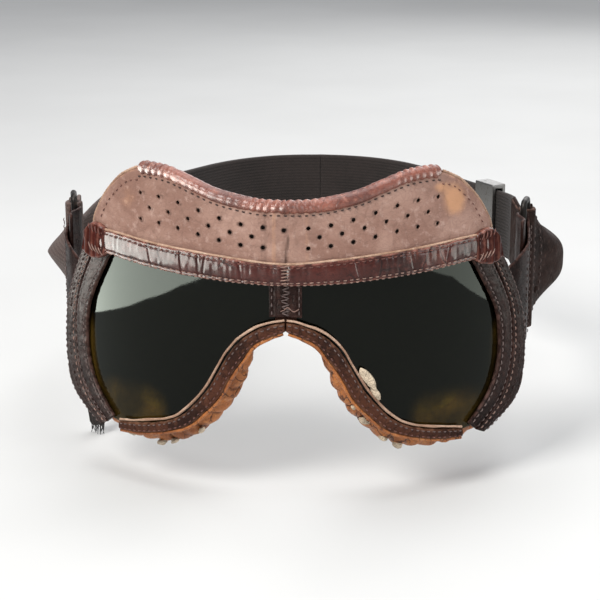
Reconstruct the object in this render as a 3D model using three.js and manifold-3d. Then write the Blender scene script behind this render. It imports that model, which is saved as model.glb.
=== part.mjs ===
// Folding leather motorcycle goggles with a strap ring, in millimetres, +Z up, front facing -Y.
import * as THREE from "three";
import Module from "manifold-3d";
import { mergeVertices } from "three/addons/utils/BufferGeometryUtils.js";

const wasm = await Module();
wasm.setup();
const { Manifold, Mesh } = wasm;

// Driving dimensions
const FACE_RADIUS = 96;          // plan radius of the mask's front face
const SPLIT = 0.2;               // half of the gap between the two folding halves
const LEATHER = 1.2;             // outer leather
const LENS_THICK = 1;
const BROW_LEAN = Math.tan(THREE.MathUtils.degToRad(8));
const LEAN_FROM = 16;            // height where the brow starts to lean back
const LEAN_RAMP = 12;            // the lean fades out towards the centre crease
const VENT_RADIUS = 0.65;
const VENT_PITCH = 7.1;
const VENT_ROWS = [[1, 7, 19], [1.5, 6, 22.2], [1, 7, 25.4]];  // first step, count, height at the centre
const TEMPLE = new THREE.Vector2(80, 64.7);    // strap pivot at the loop's rear bar
const BACK = new THREE.Vector2(0.3, 216.7);    // middle of the strap behind the head
const STRAP_THICK = 2.2;
const STRAP_HIGH = 26;
const STRAP_Z = -7;              // middle height of the strap behind the ears
const LOOP_Z = -3;               // middle height of the wire loops at the temples
const WIRE = 1.1;                // radius of the loop wire
const SLIDE_LENGTH = 12;
const EAR_PUSH = 13;             // how far the strap is pushed out over each ear
const FULL_LEFT = 1.3;           // the left strap is folded to a ridge, the right one bulges evenly
const FULL_RIGHT = 3;
const TAIL_WIDE = 6;
const TAIL_DROP = 38;
const TAIL_DRIFT = 6;
const TAIL_TWIST = THREE.MathUtils.degToRad(55);

const paint = {
  brow: { color: 0x8d6558, roughness: 0.62, metalness: 0 },
  lining: { color: 0xb9946f, roughness: 0.8, metalness: 0 },
  binding: { color: 0x7c3f33, roughness: 0.5, metalness: 0 },
  oxblood: { color: 0x5a2626, roughness: 0.3, metalness: 0 },
  dark: { color: 0x33261f, roughness: 0.55, metalness: 0 },
  trim: { color: 0x50301f, roughness: 0.5, metalness: 0 },
  piping: { color: 0xc9b59b, roughness: 0.7, metalness: 0 },
  lens: { color: 0x23251a, roughness: 0.15, metalness: 0 },
  cushion: { color: 0xb96a34, roughness: 0.6, metalness: 0 },
  backing: { color: 0x2a2420, roughness: 0.8, metalness: 0 },
  webbing: { color: 0x5b4a43, roughness: 0.9, metalness: 0 },
  elastic: { color: 0x2c2826, roughness: 0.9, metalness: 0 },
  steel: { color: 0x9a9a98, roughness: 0.35, metalness: 1 },
};

const goggles = new THREE.Group();

function place(name, geometry, coat) {
  const mesh = new THREE.Mesh(geometry, new THREE.MeshStandardMaterial(paint[coat]));
  mesh.name = name;
  goggles.add(mesh);
  return mesh;
}

// A point on the mask: arc length u, height z and depth d in front of the face.
function onFace(u, z, d) {
  const a = u / FACE_RADIUS;
  const ramp = Math.min(1, Math.abs(u) / LEAN_RAMP);
  const back = Math.max(0, z - LEAN_FROM) * BROW_LEAN * ramp;
  return new THREE.Vector3(
    (FACE_RADIUS + d) * Math.sin(a),
    FACE_RADIUS - (FACE_RADIUS + d) * Math.cos(a) + back,
    z,
  );
}

function volumeOf(geometry) {
  const p = geometry.attributes.position;
  const order = geometry.index.array;
  const [a, b, c] = [new THREE.Vector3(), new THREE.Vector3(), new THREE.Vector3()];
  let total = 0;
  for (let i = 0; i < order.length; i += 3) {
    a.fromBufferAttribute(p, order[i]);
    b.fromBufferAttribute(p, order[i + 1]);
    c.fromBufferAttribute(p, order[i + 2]);
    total += a.dot(b.cross(c)) / 6;
  }
  return total;
}

// Bends a three.js geometry: every vertex goes through warp, and the faces end up outward.
function bend(source, warp) {
  const bare = source.clone();
  bare.deleteAttribute("normal");
  bare.deleteAttribute("uv");
  const geometry = mergeVertices(bare, 1e-5);
  const p = geometry.attributes.position;
  const v = new THREE.Vector3();
  for (let i = 0; i < p.count; i += 1) {
    v.fromBufferAttribute(p, i);
    const q = warp(v.x, v.y, v.z);
    p.setXYZ(i, q.x, q.y, q.z);
  }
  if (volumeOf(geometry) < 0) {
    const order = geometry.index.array;
    for (let i = 0; i < order.length; i += 3) {
      [order[i + 1], order[i + 2]] = [order[i + 2], order[i + 1]];
    }
  }
  geometry.computeVertexNormals();
  return geometry;
}

function solidOf(geometry) {
  const bare = geometry.clone();
  bare.deleteAttribute("normal");
  bare.deleteAttribute("uv");
  const whole = mergeVertices(bare, 1e-4);
  return new Manifold(new Mesh({
    numProp: 3,
    vertProperties: new Float32Array(whole.attributes.position.array),
    triVerts: new Uint32Array(whole.index.array),
  }));
}

function geometryOf(solid) {
  const mesh = solid.getMesh();
  const geometry = new THREE.BufferGeometry();
  geometry.setAttribute("position", new THREE.BufferAttribute(mesh.vertProperties, 3));
  geometry.setIndex(new THREE.BufferAttribute(mesh.triVerts, 1));
  geometry.computeVertexNormals();
  return geometry;
}

const curve = (points) => new THREE.SplineCurve(points.map(([u, z]) => new THREE.Vector2(u, z)));

// A strip of leather between two edge curves drawn on the mask, from depth inner to depth outer.
function strip(sign, lower, upper, inner, outer, steps, across = 3, round = 0.25) {
  const block = new THREE.BoxGeometry(1, 1, 1, across, 1, steps);
  return bend(block, (x, y, z) => {
    const t = z + 0.5;
    const s = x + 0.5;
    const a = lower.getPoint(t);
    const b = upper.getPoint(t);
    const crown = y > 0 ? (outer - inner) * round * (2 * s - 1) ** 4 : 0;
    const depth = y > 0 ? outer - crown : inner;
    const q = onFace(a.x + (b.x - a.x) * s, a.y + (b.y - a.y) * s, depth);
    q.x *= sign;
    return q;
  });
}

// A soft roll between two edge curves: rounded in section and closed at both ends.
function cushion(sign, lower, upper, inner, depthAt, steps) {
  const block = new THREE.BoxGeometry(2, 2, 1, 4, 4, steps);
  return bend(block, (x, y, z) => {
    const t = z + 0.5;
    const end = (1 - Math.abs(2 * t - 1) ** 6 * 0.55);
    const k = Math.sqrt(Math.max(x * x, y * y)) / Math.max(1e-9, (Math.abs(x) ** 3.2 + Math.abs(y) ** 3.2) ** (1 / 3.2));
    const s = 0.5 + 0.5 * x * (x || y ? k : 1) * end;
    const w = 0.5 + 0.5 * y * (x || y ? k : 1) * end;
    const a = lower.getPoint(t);
    const b = upper.getPoint(t);
    const q = onFace(a.x + (b.x - a.x) * s, a.y + (b.y - a.y) * s, inner - depthAt(t) * w);
    q.x *= sign;
    return q;
  });
}

// Edge curves of the right half, as arc length and height; the left half mirrors them
const browTop = curve([[SPLIT, 32.4], [10, 32.4], [22, 34.6], [30, 37.4], [39, 40.4], [47, 41.2], [51, 41]]);
const browUpper = curve([[SPLIT, 32.4], [10, 32.4], [22, 34.6], [30, 37.4], [39, 40.4], [47, 41.2], [52, 40.8], [59, 37.2],
  [65.6, 31], [70.4, 24]]);
const browLow = curve([[SPLIT, 10.6], [10, 11], [21, 11.8], [29, 12.6], [38, 13.6], [45, 14.4], [50, 15], [57, 15.8],
  [64, 16.8], [71.5, 18]]);
const trimLow = curve([[SPLIT, 7.6], [15, 8], [30, 9], [45, 10.2], [58, 11.6], [68, 12.4]]);
const trimTop = curve([[SPLIT, 14.4], [15, 15.6], [30, 17], [45, 18.2], [58, 19.4], [70, 19.6]]);
const lensTop = curve([[3, 10], [16, 10.2], [28, 11], [40, 12], [52, 13.4], [61, 14.2], [69, 10.6], [75, 0], [79.4, -11], [80.4, -18]]);
const lensLow = curve([[3, -6.4], [9, -8.2], [16, -15.4], [22, -25.2], [30, -37], [42, -45.2], [56, -48], [68, -46], [76, -36], [79.4, -27]]);
const openingSide = curve([[62.5, 12.6], [68, 4], [75, -8], [77, -20], [76, -29], [72, -37], [64, -45.4]]);
const innerBand = curve([[69, 14.6], [74, 7], [81, -6], [83.4, -19], [82.2, -30.5], [77, -40], [67, -48]]);
const outerBandIn = curve([[69.6, 14.9], [74.4, 7], [81.4, -6], [83.8, -19], [82.6, -30.8], [77.4, -40.4], [67.4, -48.5]]);
const outerBand = curve([[73, 16.8], [80.5, 6], [88, -8], [91, -20], [91, -31.5], [87, -41], [71, -50]]);
const lowerIn = curve([[1.6, -5.2], [6, -6.4], [12, -9.4], [17.4, -14.8], [21, -20.8], [25.4, -28.6], [30.4, -34.8], [35.6, -39.6],
  [42, -42.8], [51, -44.9], [61, -46.5]]);
const lowerOut = curve([[0.5, -8.6], [5, -10.2], [10, -13], [14.2, -18.6], [18, -24.6], [22, -32], [27.4, -38], [33, -43],
  [41, -46.2], [50.6, -48.5], [61, -49.6]]);
const opening = [[6, 7], [22, 7.9], [44, 9.4], [60.5, 11.4], [68, 3], [75, -8], [77, -20], [75.5, -30.5], [69, -41], [58, -45.4],
  [45, -43], [35.6, -38.4], [26.6, -28.4], [20.4, -17.6], [12.4, -8], [6, -4.2]];
const frameEdge = [[SPLIT + 0.2, 14], [22, 15.8], [44, 18], [62, 18.6], [76, 9], [84, -7], [87, -20], [86, -33], [78, -44], [61, -48.4],
  [41.6, -46], [32.6, -41.6], [22.4, -31], [15.6, -19.6], [7.4, -10.6], [SPLIT + 0.6, -7.8]];
const cheekIn = curve([[14.5, -12], [21, -17.5], [25, -25.5], [31, -33.5], [39, -39.5], [50, -42.5], [61, -43], [71, -38.5], [77, -29], [79, -17]]);
const cheekOut = curve([[10.5, -15], [13.6, -24], [19, -34], [26.5, -43], [36.5, -50.5], [50, -53.6], [63, -53.6], [76, -49.5], [86, -38], [90, -21]]);
const browPadIn = curve([[18, 12.6], [34, 14], [50, 15.4], [62, 13.4], [71, 5.4], [77.6, -6], [79.2, -14.4]]);
const browPadOut = curve([[18, 25], [34, 27.4], [50, 29.4], [64, 26], [75, 15.4], [86, -1], [90, -18]]);

// The brow panel and its lining are cut from the same pattern; the vents go through both
function browLayer(sign, inner, outer) {
  let solid = solidOf(strip(sign, browLow, browUpper, inner, outer, 18, 4, 0));
  const pin = new THREE.CylinderGeometry(VENT_RADIUS, VENT_RADIUS, 3, 6);
  pin.rotateX(Math.PI / 2);
  for (const [row, [first, count, height]] of VENT_ROWS.entries()) {
    for (let n = 0; n < count; n += 1) {
      const u = (first + n) * VENT_PITCH;
      const rise = u * 0.06 + (3 + row) * THREE.MathUtils.smoothstep(u, 10, 44);
      const vent = bend(pin, (x, y, z) => {
        const q = onFace(u + x, height + rise + y, (inner + outer) / 2 + z);
        q.x *= sign;
        return q;
      });
      solid = solid.subtract(solidOf(vent));
    }
  }
  return geometryOf(solid);
}

// The rolled binding is a channel folded over the brow's top edge
function binding(sign) {
  const half = 2.5;
  const section = new THREE.Shape();
  section.moveTo(-half, -2.2);
  section.lineTo(-1.6, -2.2);
  section.lineTo(-1.6, 0.6);
  section.lineTo(1.5, 0.6);
  section.lineTo(1.5, -2.2);
  section.lineTo(half, -2.2);
  section.lineTo(half, 0.4);
  section.absarc(0, 0.2, half, 0.1, Math.PI - 0.1, false);
  section.lineTo(-half, 0.4);
  section.closePath();
  const rod = new THREE.ExtrudeGeometry(section, { depth: 1, steps: 12, bevelEnabled: false, curveSegments: 4 });
  return bend(rod, (x, y, z) => {
    const along = browTop.getPoint(0.0001 + z * 0.999);
    const q = onFace(along.x, along.y + y * 0.85, x);
    q.x *= sign;
    return q;
  });
}

// A closed flat ring round the lens opening, made from a torus with a squared section
function frameRing(sign) {
  const hoop = new THREE.TorusGeometry(10, 1, 8, 48);
  const inside = curve([...opening, opening[0]]);
  const outside = curve([...frameEdge, frameEdge[0]]);
  return bend(hoop, (x, y, z) => {
    const t = ((Math.atan2(y, x) / (2 * Math.PI) + 1) % 1) || 0;
    const across = Math.hypot(x, y) - 10;
    const widest = Math.max(Math.abs(across), Math.abs(z));
    const s = 0.5 + 0.5 * across / widest;
    const a = inside.getPoint(t);
    const b = outside.getPoint(t);
    const q = onFace(a.x + (b.x - a.x) * s, a.y + (b.y - a.y) * s, -2.1 + 0.5 * z / widest);
    q.x *= sign;
    return q;
  });
}

function lensPlate(sign) {
  return strip(sign, lensLow, lensTop, -1.4, -1.4 + LENS_THICK, 22, 4, 0);
}

function piping(sign) {
  const bead = new THREE.CylinderGeometry(0.55, 0.55, 1, 6, 26);
  return bend(bead, (x, y, z) => {
    const p = lowerIn.getPoint(y + 0.5);
    const side = lowerIn.getTangent(y + 0.5);
    const q = onFace(p.x - side.y * (x + 0.95), p.y + side.x * (x + 0.95), 0.75 + z);
    q.x *= sign;
    return q;
  });
}

// Bands of the strap ring: a path in plan, swept with a height and a sideways bulge
function band(sign, path, thick, lowAt, topAt, steps, rows, bulge = () => 0) {
  const block = new THREE.BoxGeometry(1, 1, 1, 1, rows, steps);
  return bend(block, (x, y, z) => {
    const t = z + 0.5;
    const s = y + 0.5;
    const p = path.getPoint(t);
    const along = path.getTangent(t);
    const out = x * thick + bulge(t, s);
    return new THREE.Vector3(
      sign * (p.x + along.y * out),
      p.y - along.x * out,
      lowAt(t) + (topAt(t) - lowAt(t)) * s,
    );
  });
}

// A sewn eye round a wire bar: an open ring of leather or webbing, as tall as the bar is free
function eye(sign, centre, inner, outer, low, high) {
  const ring = new THREE.Shape();
  ring.absarc(0, 0, outer, 0, Math.PI * 2, false);
  const hole = new THREE.Path();
  hole.absarc(0, 0, inner, 0, Math.PI * 2, true);
  ring.holes.push(hole);
  const tube = new THREE.ExtrudeGeometry(ring, { depth: 1, steps: 1, bevelEnabled: false, curveSegments: 7 });
  return bend(tube, (x, y, z) => new THREE.Vector3(sign * (centre.x + x), centre.y + y, low + (high - low) * z));
}

const LOOP_HALF = 25;            // half height of the wire loop, bar to bar
const EYE_HALF = 21.6;           // half height of the leather and webbing folded round its bars
const FRONT_BAR = new THREE.Vector2(78.2, 56.2);

function wireLoop(sign) {
  const path = new THREE.CurvePath();
  const corner = (p, z) => new THREE.Vector3(sign * p.x, p.y, z);
  const ends = [
    corner(FRONT_BAR, LOOP_Z - LOOP_HALF),
    corner(FRONT_BAR, LOOP_Z + LOOP_HALF),
    corner(TEMPLE, LOOP_Z + LOOP_HALF),
    corner(TEMPLE, LOOP_Z - LOOP_HALF),
  ];
  let body = null;
  ends.forEach((from, i) => {
    const to = ends[(i + 1) % 4];
    path.add(new THREE.LineCurve3(from, to));
    const rod = new THREE.CylinderGeometry(WIRE, WIRE, from.distanceTo(to), 10);
    const turn = new THREE.Quaternion().setFromUnitVectors(
      new THREE.Vector3(0, 1, 0),
      to.clone().sub(from).normalize(),
    );
    rod.applyQuaternion(turn);
    rod.translate((from.x + to.x) / 2, (from.y + to.y) / 2, (from.z + to.z) / 2);
    const ball = new THREE.SphereGeometry(WIRE * 1.05, 10, 8);
    ball.translate(from.x, from.y, from.z);
    const piece = solidOf(rod).add(solidOf(ball));
    body = body ? body.add(piece) : piece;
  });
  return geometryOf(body);
}

function tab(sign) {
  const path = curve([[72.1, 33.9], [74.5, 36.7], [76.7, 39.7], [79.2, 45.6], [79.9, 50.4], [79.9, 56]]);
  const top = (t) => LOOP_Z + 8 + (EYE_HALF - 8) * Math.min(1, t * 1.3);
  const sheet = band(sign, path, 1.05, () => LOOP_Z - EYE_HALF, top, 12, 2);
  const fold = eye(sign, FRONT_BAR, WIRE + 0.35, WIRE + 1.5, LOOP_Z - EYE_HALF, LOOP_Z + EYE_HALF);
  return geometryOf(solidOf(sheet).add(solidOf(fold)));
}

// The side strap narrows from the wire loop, is pushed out over the ear and runs on to the back
function sideStrap(sign, fullness, withHole) {
  const path = curve([[81.6, 66.4], [81.8, 76], [82, 87], [82, 98], [81.6, 110], [80.8, 122], [80, 134.4]]);
  const narrow = (t) => THREE.MathUtils.smoothstep(t, 0, 0.45);
  const low = (t) => THREE.MathUtils.lerp(LOOP_Z - EYE_HALF, STRAP_Z - STRAP_HIGH / 2, narrow(t));
  const top = (t) => THREE.MathUtils.lerp(LOOP_Z + EYE_HALF, STRAP_Z + STRAP_HIGH / 2, narrow(t));
  const swell = (t, s) => EAR_PUSH * Math.sin(Math.PI * Math.min(1, t * 1.15)) ** 2
    * (1 - Math.abs(2 * s - 1) ** fullness);
  const sheet = band(sign, path, STRAP_THICK, low, top, 18, 6, swell);
  const fold = eye(sign, TEMPLE, WIRE + 0.35, WIRE + 2.1, LOOP_Z - EYE_HALF, LOOP_Z + EYE_HALF);
  let solid = solidOf(sheet).add(solidOf(fold));
  if (withHole) {
    const punch = new THREE.CylinderGeometry(1.4, 1.4, 14, 12);
    punch.rotateZ(Math.PI / 2);
    punch.translate(sign * 83, 72, -13);
    solid = solid.subtract(solidOf(punch));
  }
  return geometryOf(solid);
}

const SLIDE_FROM = new THREE.Vector2(76.4, 146);
const SLIDE_TO = new THREE.Vector2(47.4, 190);

function backPath() {
  const path = new THREE.CurvePath();
  path.add(new THREE.QuadraticBezierCurve(new THREE.Vector2(80, 135), new THREE.Vector2(80, 140.6), SLIDE_FROM));
  path.add(new THREE.LineCurve(SLIDE_FROM, SLIDE_TO));
  const swing = SLIDE_TO.clone().sub(SLIDE_FROM).normalize();
  const reach = (BACK.y - SLIDE_TO.y) / swing.y;
  path.add(new THREE.QuadraticBezierCurve(SLIDE_TO, SLIDE_TO.clone().addScaledVector(swing, reach), BACK));
  return path;
}

function backStrap(sign) {
  const low = () => STRAP_Z - STRAP_HIGH / 2;
  const top = () => STRAP_Z + STRAP_HIGH / 2;
  return band(sign, backPath(), STRAP_THICK, low, top, 24, 1);
}

function slideKeeper(sign) {
  const outer = new THREE.Shape();
  const wide = STRAP_THICK / 2 + 2;
  const tall = STRAP_HIGH / 2 + 2.4;
  outer.moveTo(-wide, -tall);
  outer.lineTo(wide, -tall);
  outer.lineTo(wide, tall);
  outer.lineTo(-wide, tall);
  outer.closePath();
  const slot = new THREE.Path();
  slot.moveTo(-wide + 1.5, -tall + 1.8);
  slot.lineTo(-wide + 1.5, tall - 1.8);
  slot.lineTo(wide - 1.5, tall - 1.8);
  slot.lineTo(wide - 1.5, -tall + 1.8);
  slot.closePath();
  outer.holes.push(slot);
  const body = new THREE.ExtrudeGeometry(outer, { depth: SLIDE_LENGTH, steps: 1, bevelEnabled: false });
  const along = SLIDE_TO.clone().sub(SLIDE_FROM).normalize();
  const start = SLIDE_FROM.clone().addScaledVector(along, 3);
  return bend(body, (x, y, z) => new THREE.Vector3(
    sign * (start.x + along.x * z + along.y * x),
    start.y + along.y * z - along.x * x,
    STRAP_Z + y,
  ));
}

for (const [side, sign] of [["l", -1], ["r", 1]]) {
  place(`brow_panel_${side}`, browLayer(sign, 0, LEATHER), "brow");
  place(`brow_lining_${side}`, browLayer(sign, -1.3, -0.3), "lining");
  place(`top_binding_${side}`, binding(sign), "binding");
  place(`brow_trim_${side}`, strip(sign, trimLow, trimTop, 1.6, 3.2, 18, 4), "oxblood");
  place(`lens_${side}`, lensPlate(sign), "lens");
  place(`lens_frame_${side}`, frameRing(sign), "backing");
  place(`lens_binding_${side}`, strip(sign, openingSide, innerBand, 0, 1.4, 20, 3), "dark");
  place(`side_panel_${side}`, strip(sign, outerBandIn, outerBand, 0, 1.4, 20, 3), "dark");
  place(`lower_trim_${side}`, strip(sign, lowerOut, lowerIn, 0, 1.4, 24, 2), "trim");
  place(`lens_piping_${side}`, piping(sign), "piping");
  const deep = (t) => 7.2 + 4.6 * THREE.MathUtils.smoothstep(t, 0.02, 0.3);
  place(`cheek_cushion_${side}`, cushion(sign, cheekOut, cheekIn, -2.95, deep, 20), "cushion");
  place(`brow_cushion_${side}`, cushion(sign, browPadIn, browPadOut, -2.95, () => 10.4, 18), "cushion");
  place(`strap_tab_${side}`, tab(sign), "dark");
  place(`strap_loop_${side}`, wireLoop(sign), "steel");
  place(`strap_side_${side}`, sideStrap(sign, side === "r" ? FULL_RIGHT : FULL_LEFT, side === "r"), "webbing");
  place(`strap_back_${side}`, backStrap(sign), "elastic");
}

// The bridge strip lies across both lens ends and is sewn to the left half
const bridgeLow = curve([[-5.2, -3], [-2, -3], [2, -3], [5.2, -3]]);
const bridgeTop = curve([[-5.2, 7.2], [-2, 7.2], [2, 7.2], [5.2, 7.2]]);
place("bridge_strip", strip(1, bridgeLow, bridgeTop, 0, LEATHER, 6, 2), "oxblood");

place("strap_slide", slideKeeper(1), "steel");

// The cut end of an old strap is sewn round the left loop's lower bar and hangs with a twist
function strapTail(sign) {
  const along = TEMPLE.clone().sub(FRONT_BAR).normalize();
  const bar = TEMPLE.clone().add(FRONT_BAR).multiplyScalar(0.5);
  const barZ = LOOP_Z - LOOP_HALF;
  const atBar = (a, b, z) => new THREE.Vector3(
    sign * (bar.x + along.y * a + along.x * b),
    bar.y - along.x * a + along.y * b,
    barZ + z,
  );
  const ring = new THREE.Shape();
  ring.absarc(0, 0, WIRE + 1.7, 0, Math.PI * 2, false);
  const hole = new THREE.Path();
  hole.absarc(0, 0, WIRE + 0.35, 0, Math.PI * 2, true);
  ring.holes.push(hole);
  const tube = new THREE.ExtrudeGeometry(ring, { depth: TAIL_WIDE, steps: 1, bevelEnabled: false, curveSegments: 6 });
  const fold = bend(tube, (x, y, z) => atBar(x, z - TAIL_WIDE / 2, y));
  const sheet = new THREE.BoxGeometry(1.8, TAIL_WIDE, 1, 1, 2, 8);
  const fall = bend(sheet, (x, y, z) => {
    const down = 0.5 - z;
    const turn = -TAIL_TWIST * THREE.MathUtils.smoothstep(down, 0.15, 0.7);
    const a = x * Math.cos(turn) - y * Math.sin(turn);
    const b = x * Math.sin(turn) + y * Math.cos(turn);
    return atBar(a - TAIL_DRIFT * down ** 1.5, b, -1.8 - down * TAIL_DROP);
  });
  return geometryOf(solidOf(fold).add(solidOf(fall)));
}

place("strap_tail", strapTail(-1), "elastic");

const box = new THREE.Box3().setFromObject(goggles);
goggles.position.set(0, -(box.min.y + box.max.y) / 2, -box.min.z);

export default goggles;
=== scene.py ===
"""Looks of the folding leather motorcycle goggles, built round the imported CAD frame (metres, +Z up)."""
import math
import random

import bmesh
import bpy
import numpy as np
from mathutils import Matrix, Vector
from mathutils.kdtree import KDTree


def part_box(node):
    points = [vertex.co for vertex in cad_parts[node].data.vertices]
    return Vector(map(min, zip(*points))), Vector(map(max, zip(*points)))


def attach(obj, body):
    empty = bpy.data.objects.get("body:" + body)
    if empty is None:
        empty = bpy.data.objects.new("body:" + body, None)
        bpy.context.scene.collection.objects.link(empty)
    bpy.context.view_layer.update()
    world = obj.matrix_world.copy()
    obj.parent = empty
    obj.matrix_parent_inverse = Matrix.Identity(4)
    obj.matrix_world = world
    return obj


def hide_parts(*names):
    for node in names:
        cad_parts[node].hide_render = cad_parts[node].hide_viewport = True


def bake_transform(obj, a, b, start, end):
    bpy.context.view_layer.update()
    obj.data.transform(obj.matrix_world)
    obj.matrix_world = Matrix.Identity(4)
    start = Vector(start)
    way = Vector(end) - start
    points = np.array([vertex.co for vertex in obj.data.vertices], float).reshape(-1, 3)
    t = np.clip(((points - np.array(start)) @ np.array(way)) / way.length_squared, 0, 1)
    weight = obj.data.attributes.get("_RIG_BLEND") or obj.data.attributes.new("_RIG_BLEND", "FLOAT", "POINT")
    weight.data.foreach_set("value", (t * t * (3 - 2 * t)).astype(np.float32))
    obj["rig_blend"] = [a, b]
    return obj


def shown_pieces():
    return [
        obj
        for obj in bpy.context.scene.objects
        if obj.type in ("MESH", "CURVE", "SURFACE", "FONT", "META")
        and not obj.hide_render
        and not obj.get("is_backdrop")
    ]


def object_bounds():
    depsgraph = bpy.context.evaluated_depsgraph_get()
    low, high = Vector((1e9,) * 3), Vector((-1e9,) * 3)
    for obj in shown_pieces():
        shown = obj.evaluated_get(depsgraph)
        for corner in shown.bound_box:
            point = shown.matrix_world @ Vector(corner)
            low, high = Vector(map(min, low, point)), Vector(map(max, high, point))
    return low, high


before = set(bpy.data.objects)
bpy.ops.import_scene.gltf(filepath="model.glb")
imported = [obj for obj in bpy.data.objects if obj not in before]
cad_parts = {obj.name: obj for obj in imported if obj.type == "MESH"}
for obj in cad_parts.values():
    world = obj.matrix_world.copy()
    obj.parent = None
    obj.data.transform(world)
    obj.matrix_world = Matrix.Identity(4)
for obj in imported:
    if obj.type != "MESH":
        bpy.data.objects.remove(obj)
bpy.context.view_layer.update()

MM = 0.001
FACE_RADIUS = 96.0               # the mask's curve in plan
BROW_LEAN = math.tan(math.radians(8))
LEAN_FROM = 16.0                 # height where the brow starts to lean back
LEAN_RAMP = 12.0                 # arc length from the crease over which the lean grows
LEATHER = 1.2
BRIDGE_FOOT = 3.0                # how far the bridge strip reaches below the design's origin
EDGE_WIDE = 1.6                  # width of a piece's rubbed border
CORNER = 0.55                    # rounding of a leather edge
CORNER_STEPS = 4
NOISE_KEYS = (12.9898, 78.233, 37.719)

# The design's own origin (front of the bridge strip) in the row frame, in mm
bridge_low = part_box("bridge_strip")[0]
ORIGIN_Y = bridge_low.y / MM + LEATHER
ORIGIN_Z = bridge_low.z / MM + BRIDGE_FOOT
LEFT, RIGHT = "left_half", "right_half"
SIDES = (("left", -1, LEFT), ("right", 1, RIGHT))
rng = random.Random(7)


# ---------------------------------------------------------------- shapes
def to_row(x, y, z):
    """Design x, y and z to row-frame mm."""
    x, y, z = np.broadcast_arrays(x, y, z)
    return np.stack([x, y + ORIGIN_Y, z + ORIGIN_Z], -1)


def on_face(u, z, d):
    """Arc length, height and depth in front of the mask's face to row-frame mm."""
    a = u / FACE_RADIUS
    lean = np.maximum(0, z - LEAN_FROM) * BROW_LEAN * np.minimum(1, np.abs(u) / LEAN_RAMP)
    x = (FACE_RADIUS + d) * np.sin(a)
    y = FACE_RADIUS - (FACE_RADIUS + d) * np.cos(a) + lean
    return to_row(x, y, z)


def spline(points, t):
    """Catmull-Rom curve through the points, as the CAD uses it."""
    pts = np.asarray(points, float)
    n = len(pts)
    p = np.clip(np.asarray(t, float), 0, 1) * (n - 1)
    i = np.minimum(p.astype(int), n - 2)
    w = (p - i)[..., None]
    p0, p1 = pts[np.maximum(i - 1, 0)], pts[i]
    p2, p3 = pts[i + 1], pts[np.minimum(i + 2, n - 1)]
    v0, v1 = (p2 - p0) / 2, (p3 - p1) / 2
    return (2 * p1 - 2 * p2 + v0 + v1) * w**3 + (-3 * p1 + 3 * p2 - 2 * v0 - v1) * w**2 + v0 * w + p1


def flip(points):
    return [[-p[0], p[1]] for p in points]


def mirrored(points):
    """A right-half curve made symmetric: t 0 to 1 runs from the left end to the right end."""
    right = [[0.0, points[0][1]]] + points[1:]
    return flip(right[:0:-1]) + right


def between(lower, upper, share, n=24):
    """The curve a share of the way from one edge curve to the other."""
    t = np.linspace(0, 1, n)
    return (spline(lower, t) * (1 - share) + spline(upper, t) * share).tolist()


def drop(points, dz):
    return [[p[0], p[1] + dz] for p in points]


def bell(x, centre, width):
    return np.exp(-((x - centre) / width) ** 2)


def smooth(x, lo, hi):
    x = np.clip((np.asarray(x, float) - lo) / (hi - lo), 0, 1)
    return x * x * (3 - 2 * x)


def ring(count):
    """Angles once round a circle."""
    return np.linspace(0, 2 * math.pi, count, endpoint=False)


def run_along(points):
    """Distance from the first point to each point of a line."""
    return np.concatenate([[0], np.cumsum(np.linalg.norm(np.diff(points, axis=0), axis=1))])


def hash_noise(*coords, seed=0):
    """Smooth value noise in -1..1 for numpy arrays, the same on every run."""
    coords = [np.asarray(c, float) + 37.1 * (k + 1) + 11.7 * seed for k, c in enumerate(coords)]
    coords = list(np.broadcast_arrays(*coords))
    cells = [np.floor(c) for c in coords]
    parts = [c - f for c, f in zip(coords, cells)]
    parts = [p * p * (3 - 2 * p) for p in parts]
    total = 0
    for corner in range(2 ** len(coords)):
        weight, key = 1.0, 0.0
        for k, (cell, part) in enumerate(zip(cells, parts)):
            bit = corner >> k & 1
            weight = weight * (part if bit else 1 - part)
            key = key + (cell + bit) * NOISE_KEYS[k]
        value = np.sin(key) * 43758.5453
        total = total + weight * (value - np.floor(value))
    return total * 2 - 1


def store(mesh, name, values):
    values = np.asarray(values, float)
    kind, field = ("FLOAT_VECTOR", "vector") if values.ndim == 2 else ("FLOAT", "value")
    mesh.attributes.new(name, kind, "POINT").data.foreach_set(field, values.ravel())


def clear_layers(mesh):
    for layer in list(mesh.attributes):
        if layer.name in ("rest", "flow", "edge", "tone"):
            mesh.attributes.remove(layer)


def points_of(mesh):
    return np.array([v.co for v in mesh.vertices], float)


def evaluated(obj):
    """A new mesh of the object with its modifiers applied."""
    return bpy.data.meshes.new_from_object(obj.evaluated_get(bpy.context.evaluated_depsgraph_get()))


def mesh_object(name, verts, faces, material=None, flow=None, edge=None):
    """verts in mm. flow is (along, across, side) in mm and edge is 1 at a piece's border."""
    verts = np.asarray(verts, float)
    mesh = bpy.data.meshes.new(name)
    mesh.from_pydata((verts * MM).tolist(), [], faces)
    mesh.validate()
    mesh.polygons.foreach_set("use_smooth", [True] * len(mesh.polygons))
    store(mesh, "rest", verts)
    if flow is not None:
        store(mesh, "flow", flow)
    if edge is not None:
        store(mesh, "edge", edge)
    obj = bpy.data.objects.new(name, mesh)
    bpy.context.scene.collection.objects.link(obj)
    if material:
        mesh.materials.append(material)
    return obj


def face_uz(obj):
    """Arc length and height on the mask for every vertex of a piece."""
    co = points_of(obj.data) / MM
    return FACE_RADIUS * np.arctan2(co[:, 0], FACE_RADIUS - (co[:, 1] - ORIGIN_Y)), co[:, 2] - ORIGIN_Z


def shade(obj, rule):
    """Stores the tone attribute from rule(u, z), from -1 (darker) to 1 (lighter): stains and rubbing on some
    pieces, painted shade and painted highlight on others.
    """
    u, z = face_uz(obj)
    store(obj.data, "tone", np.clip(rule(u, z) + 0 * u, -1, 1))
    return obj


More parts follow.
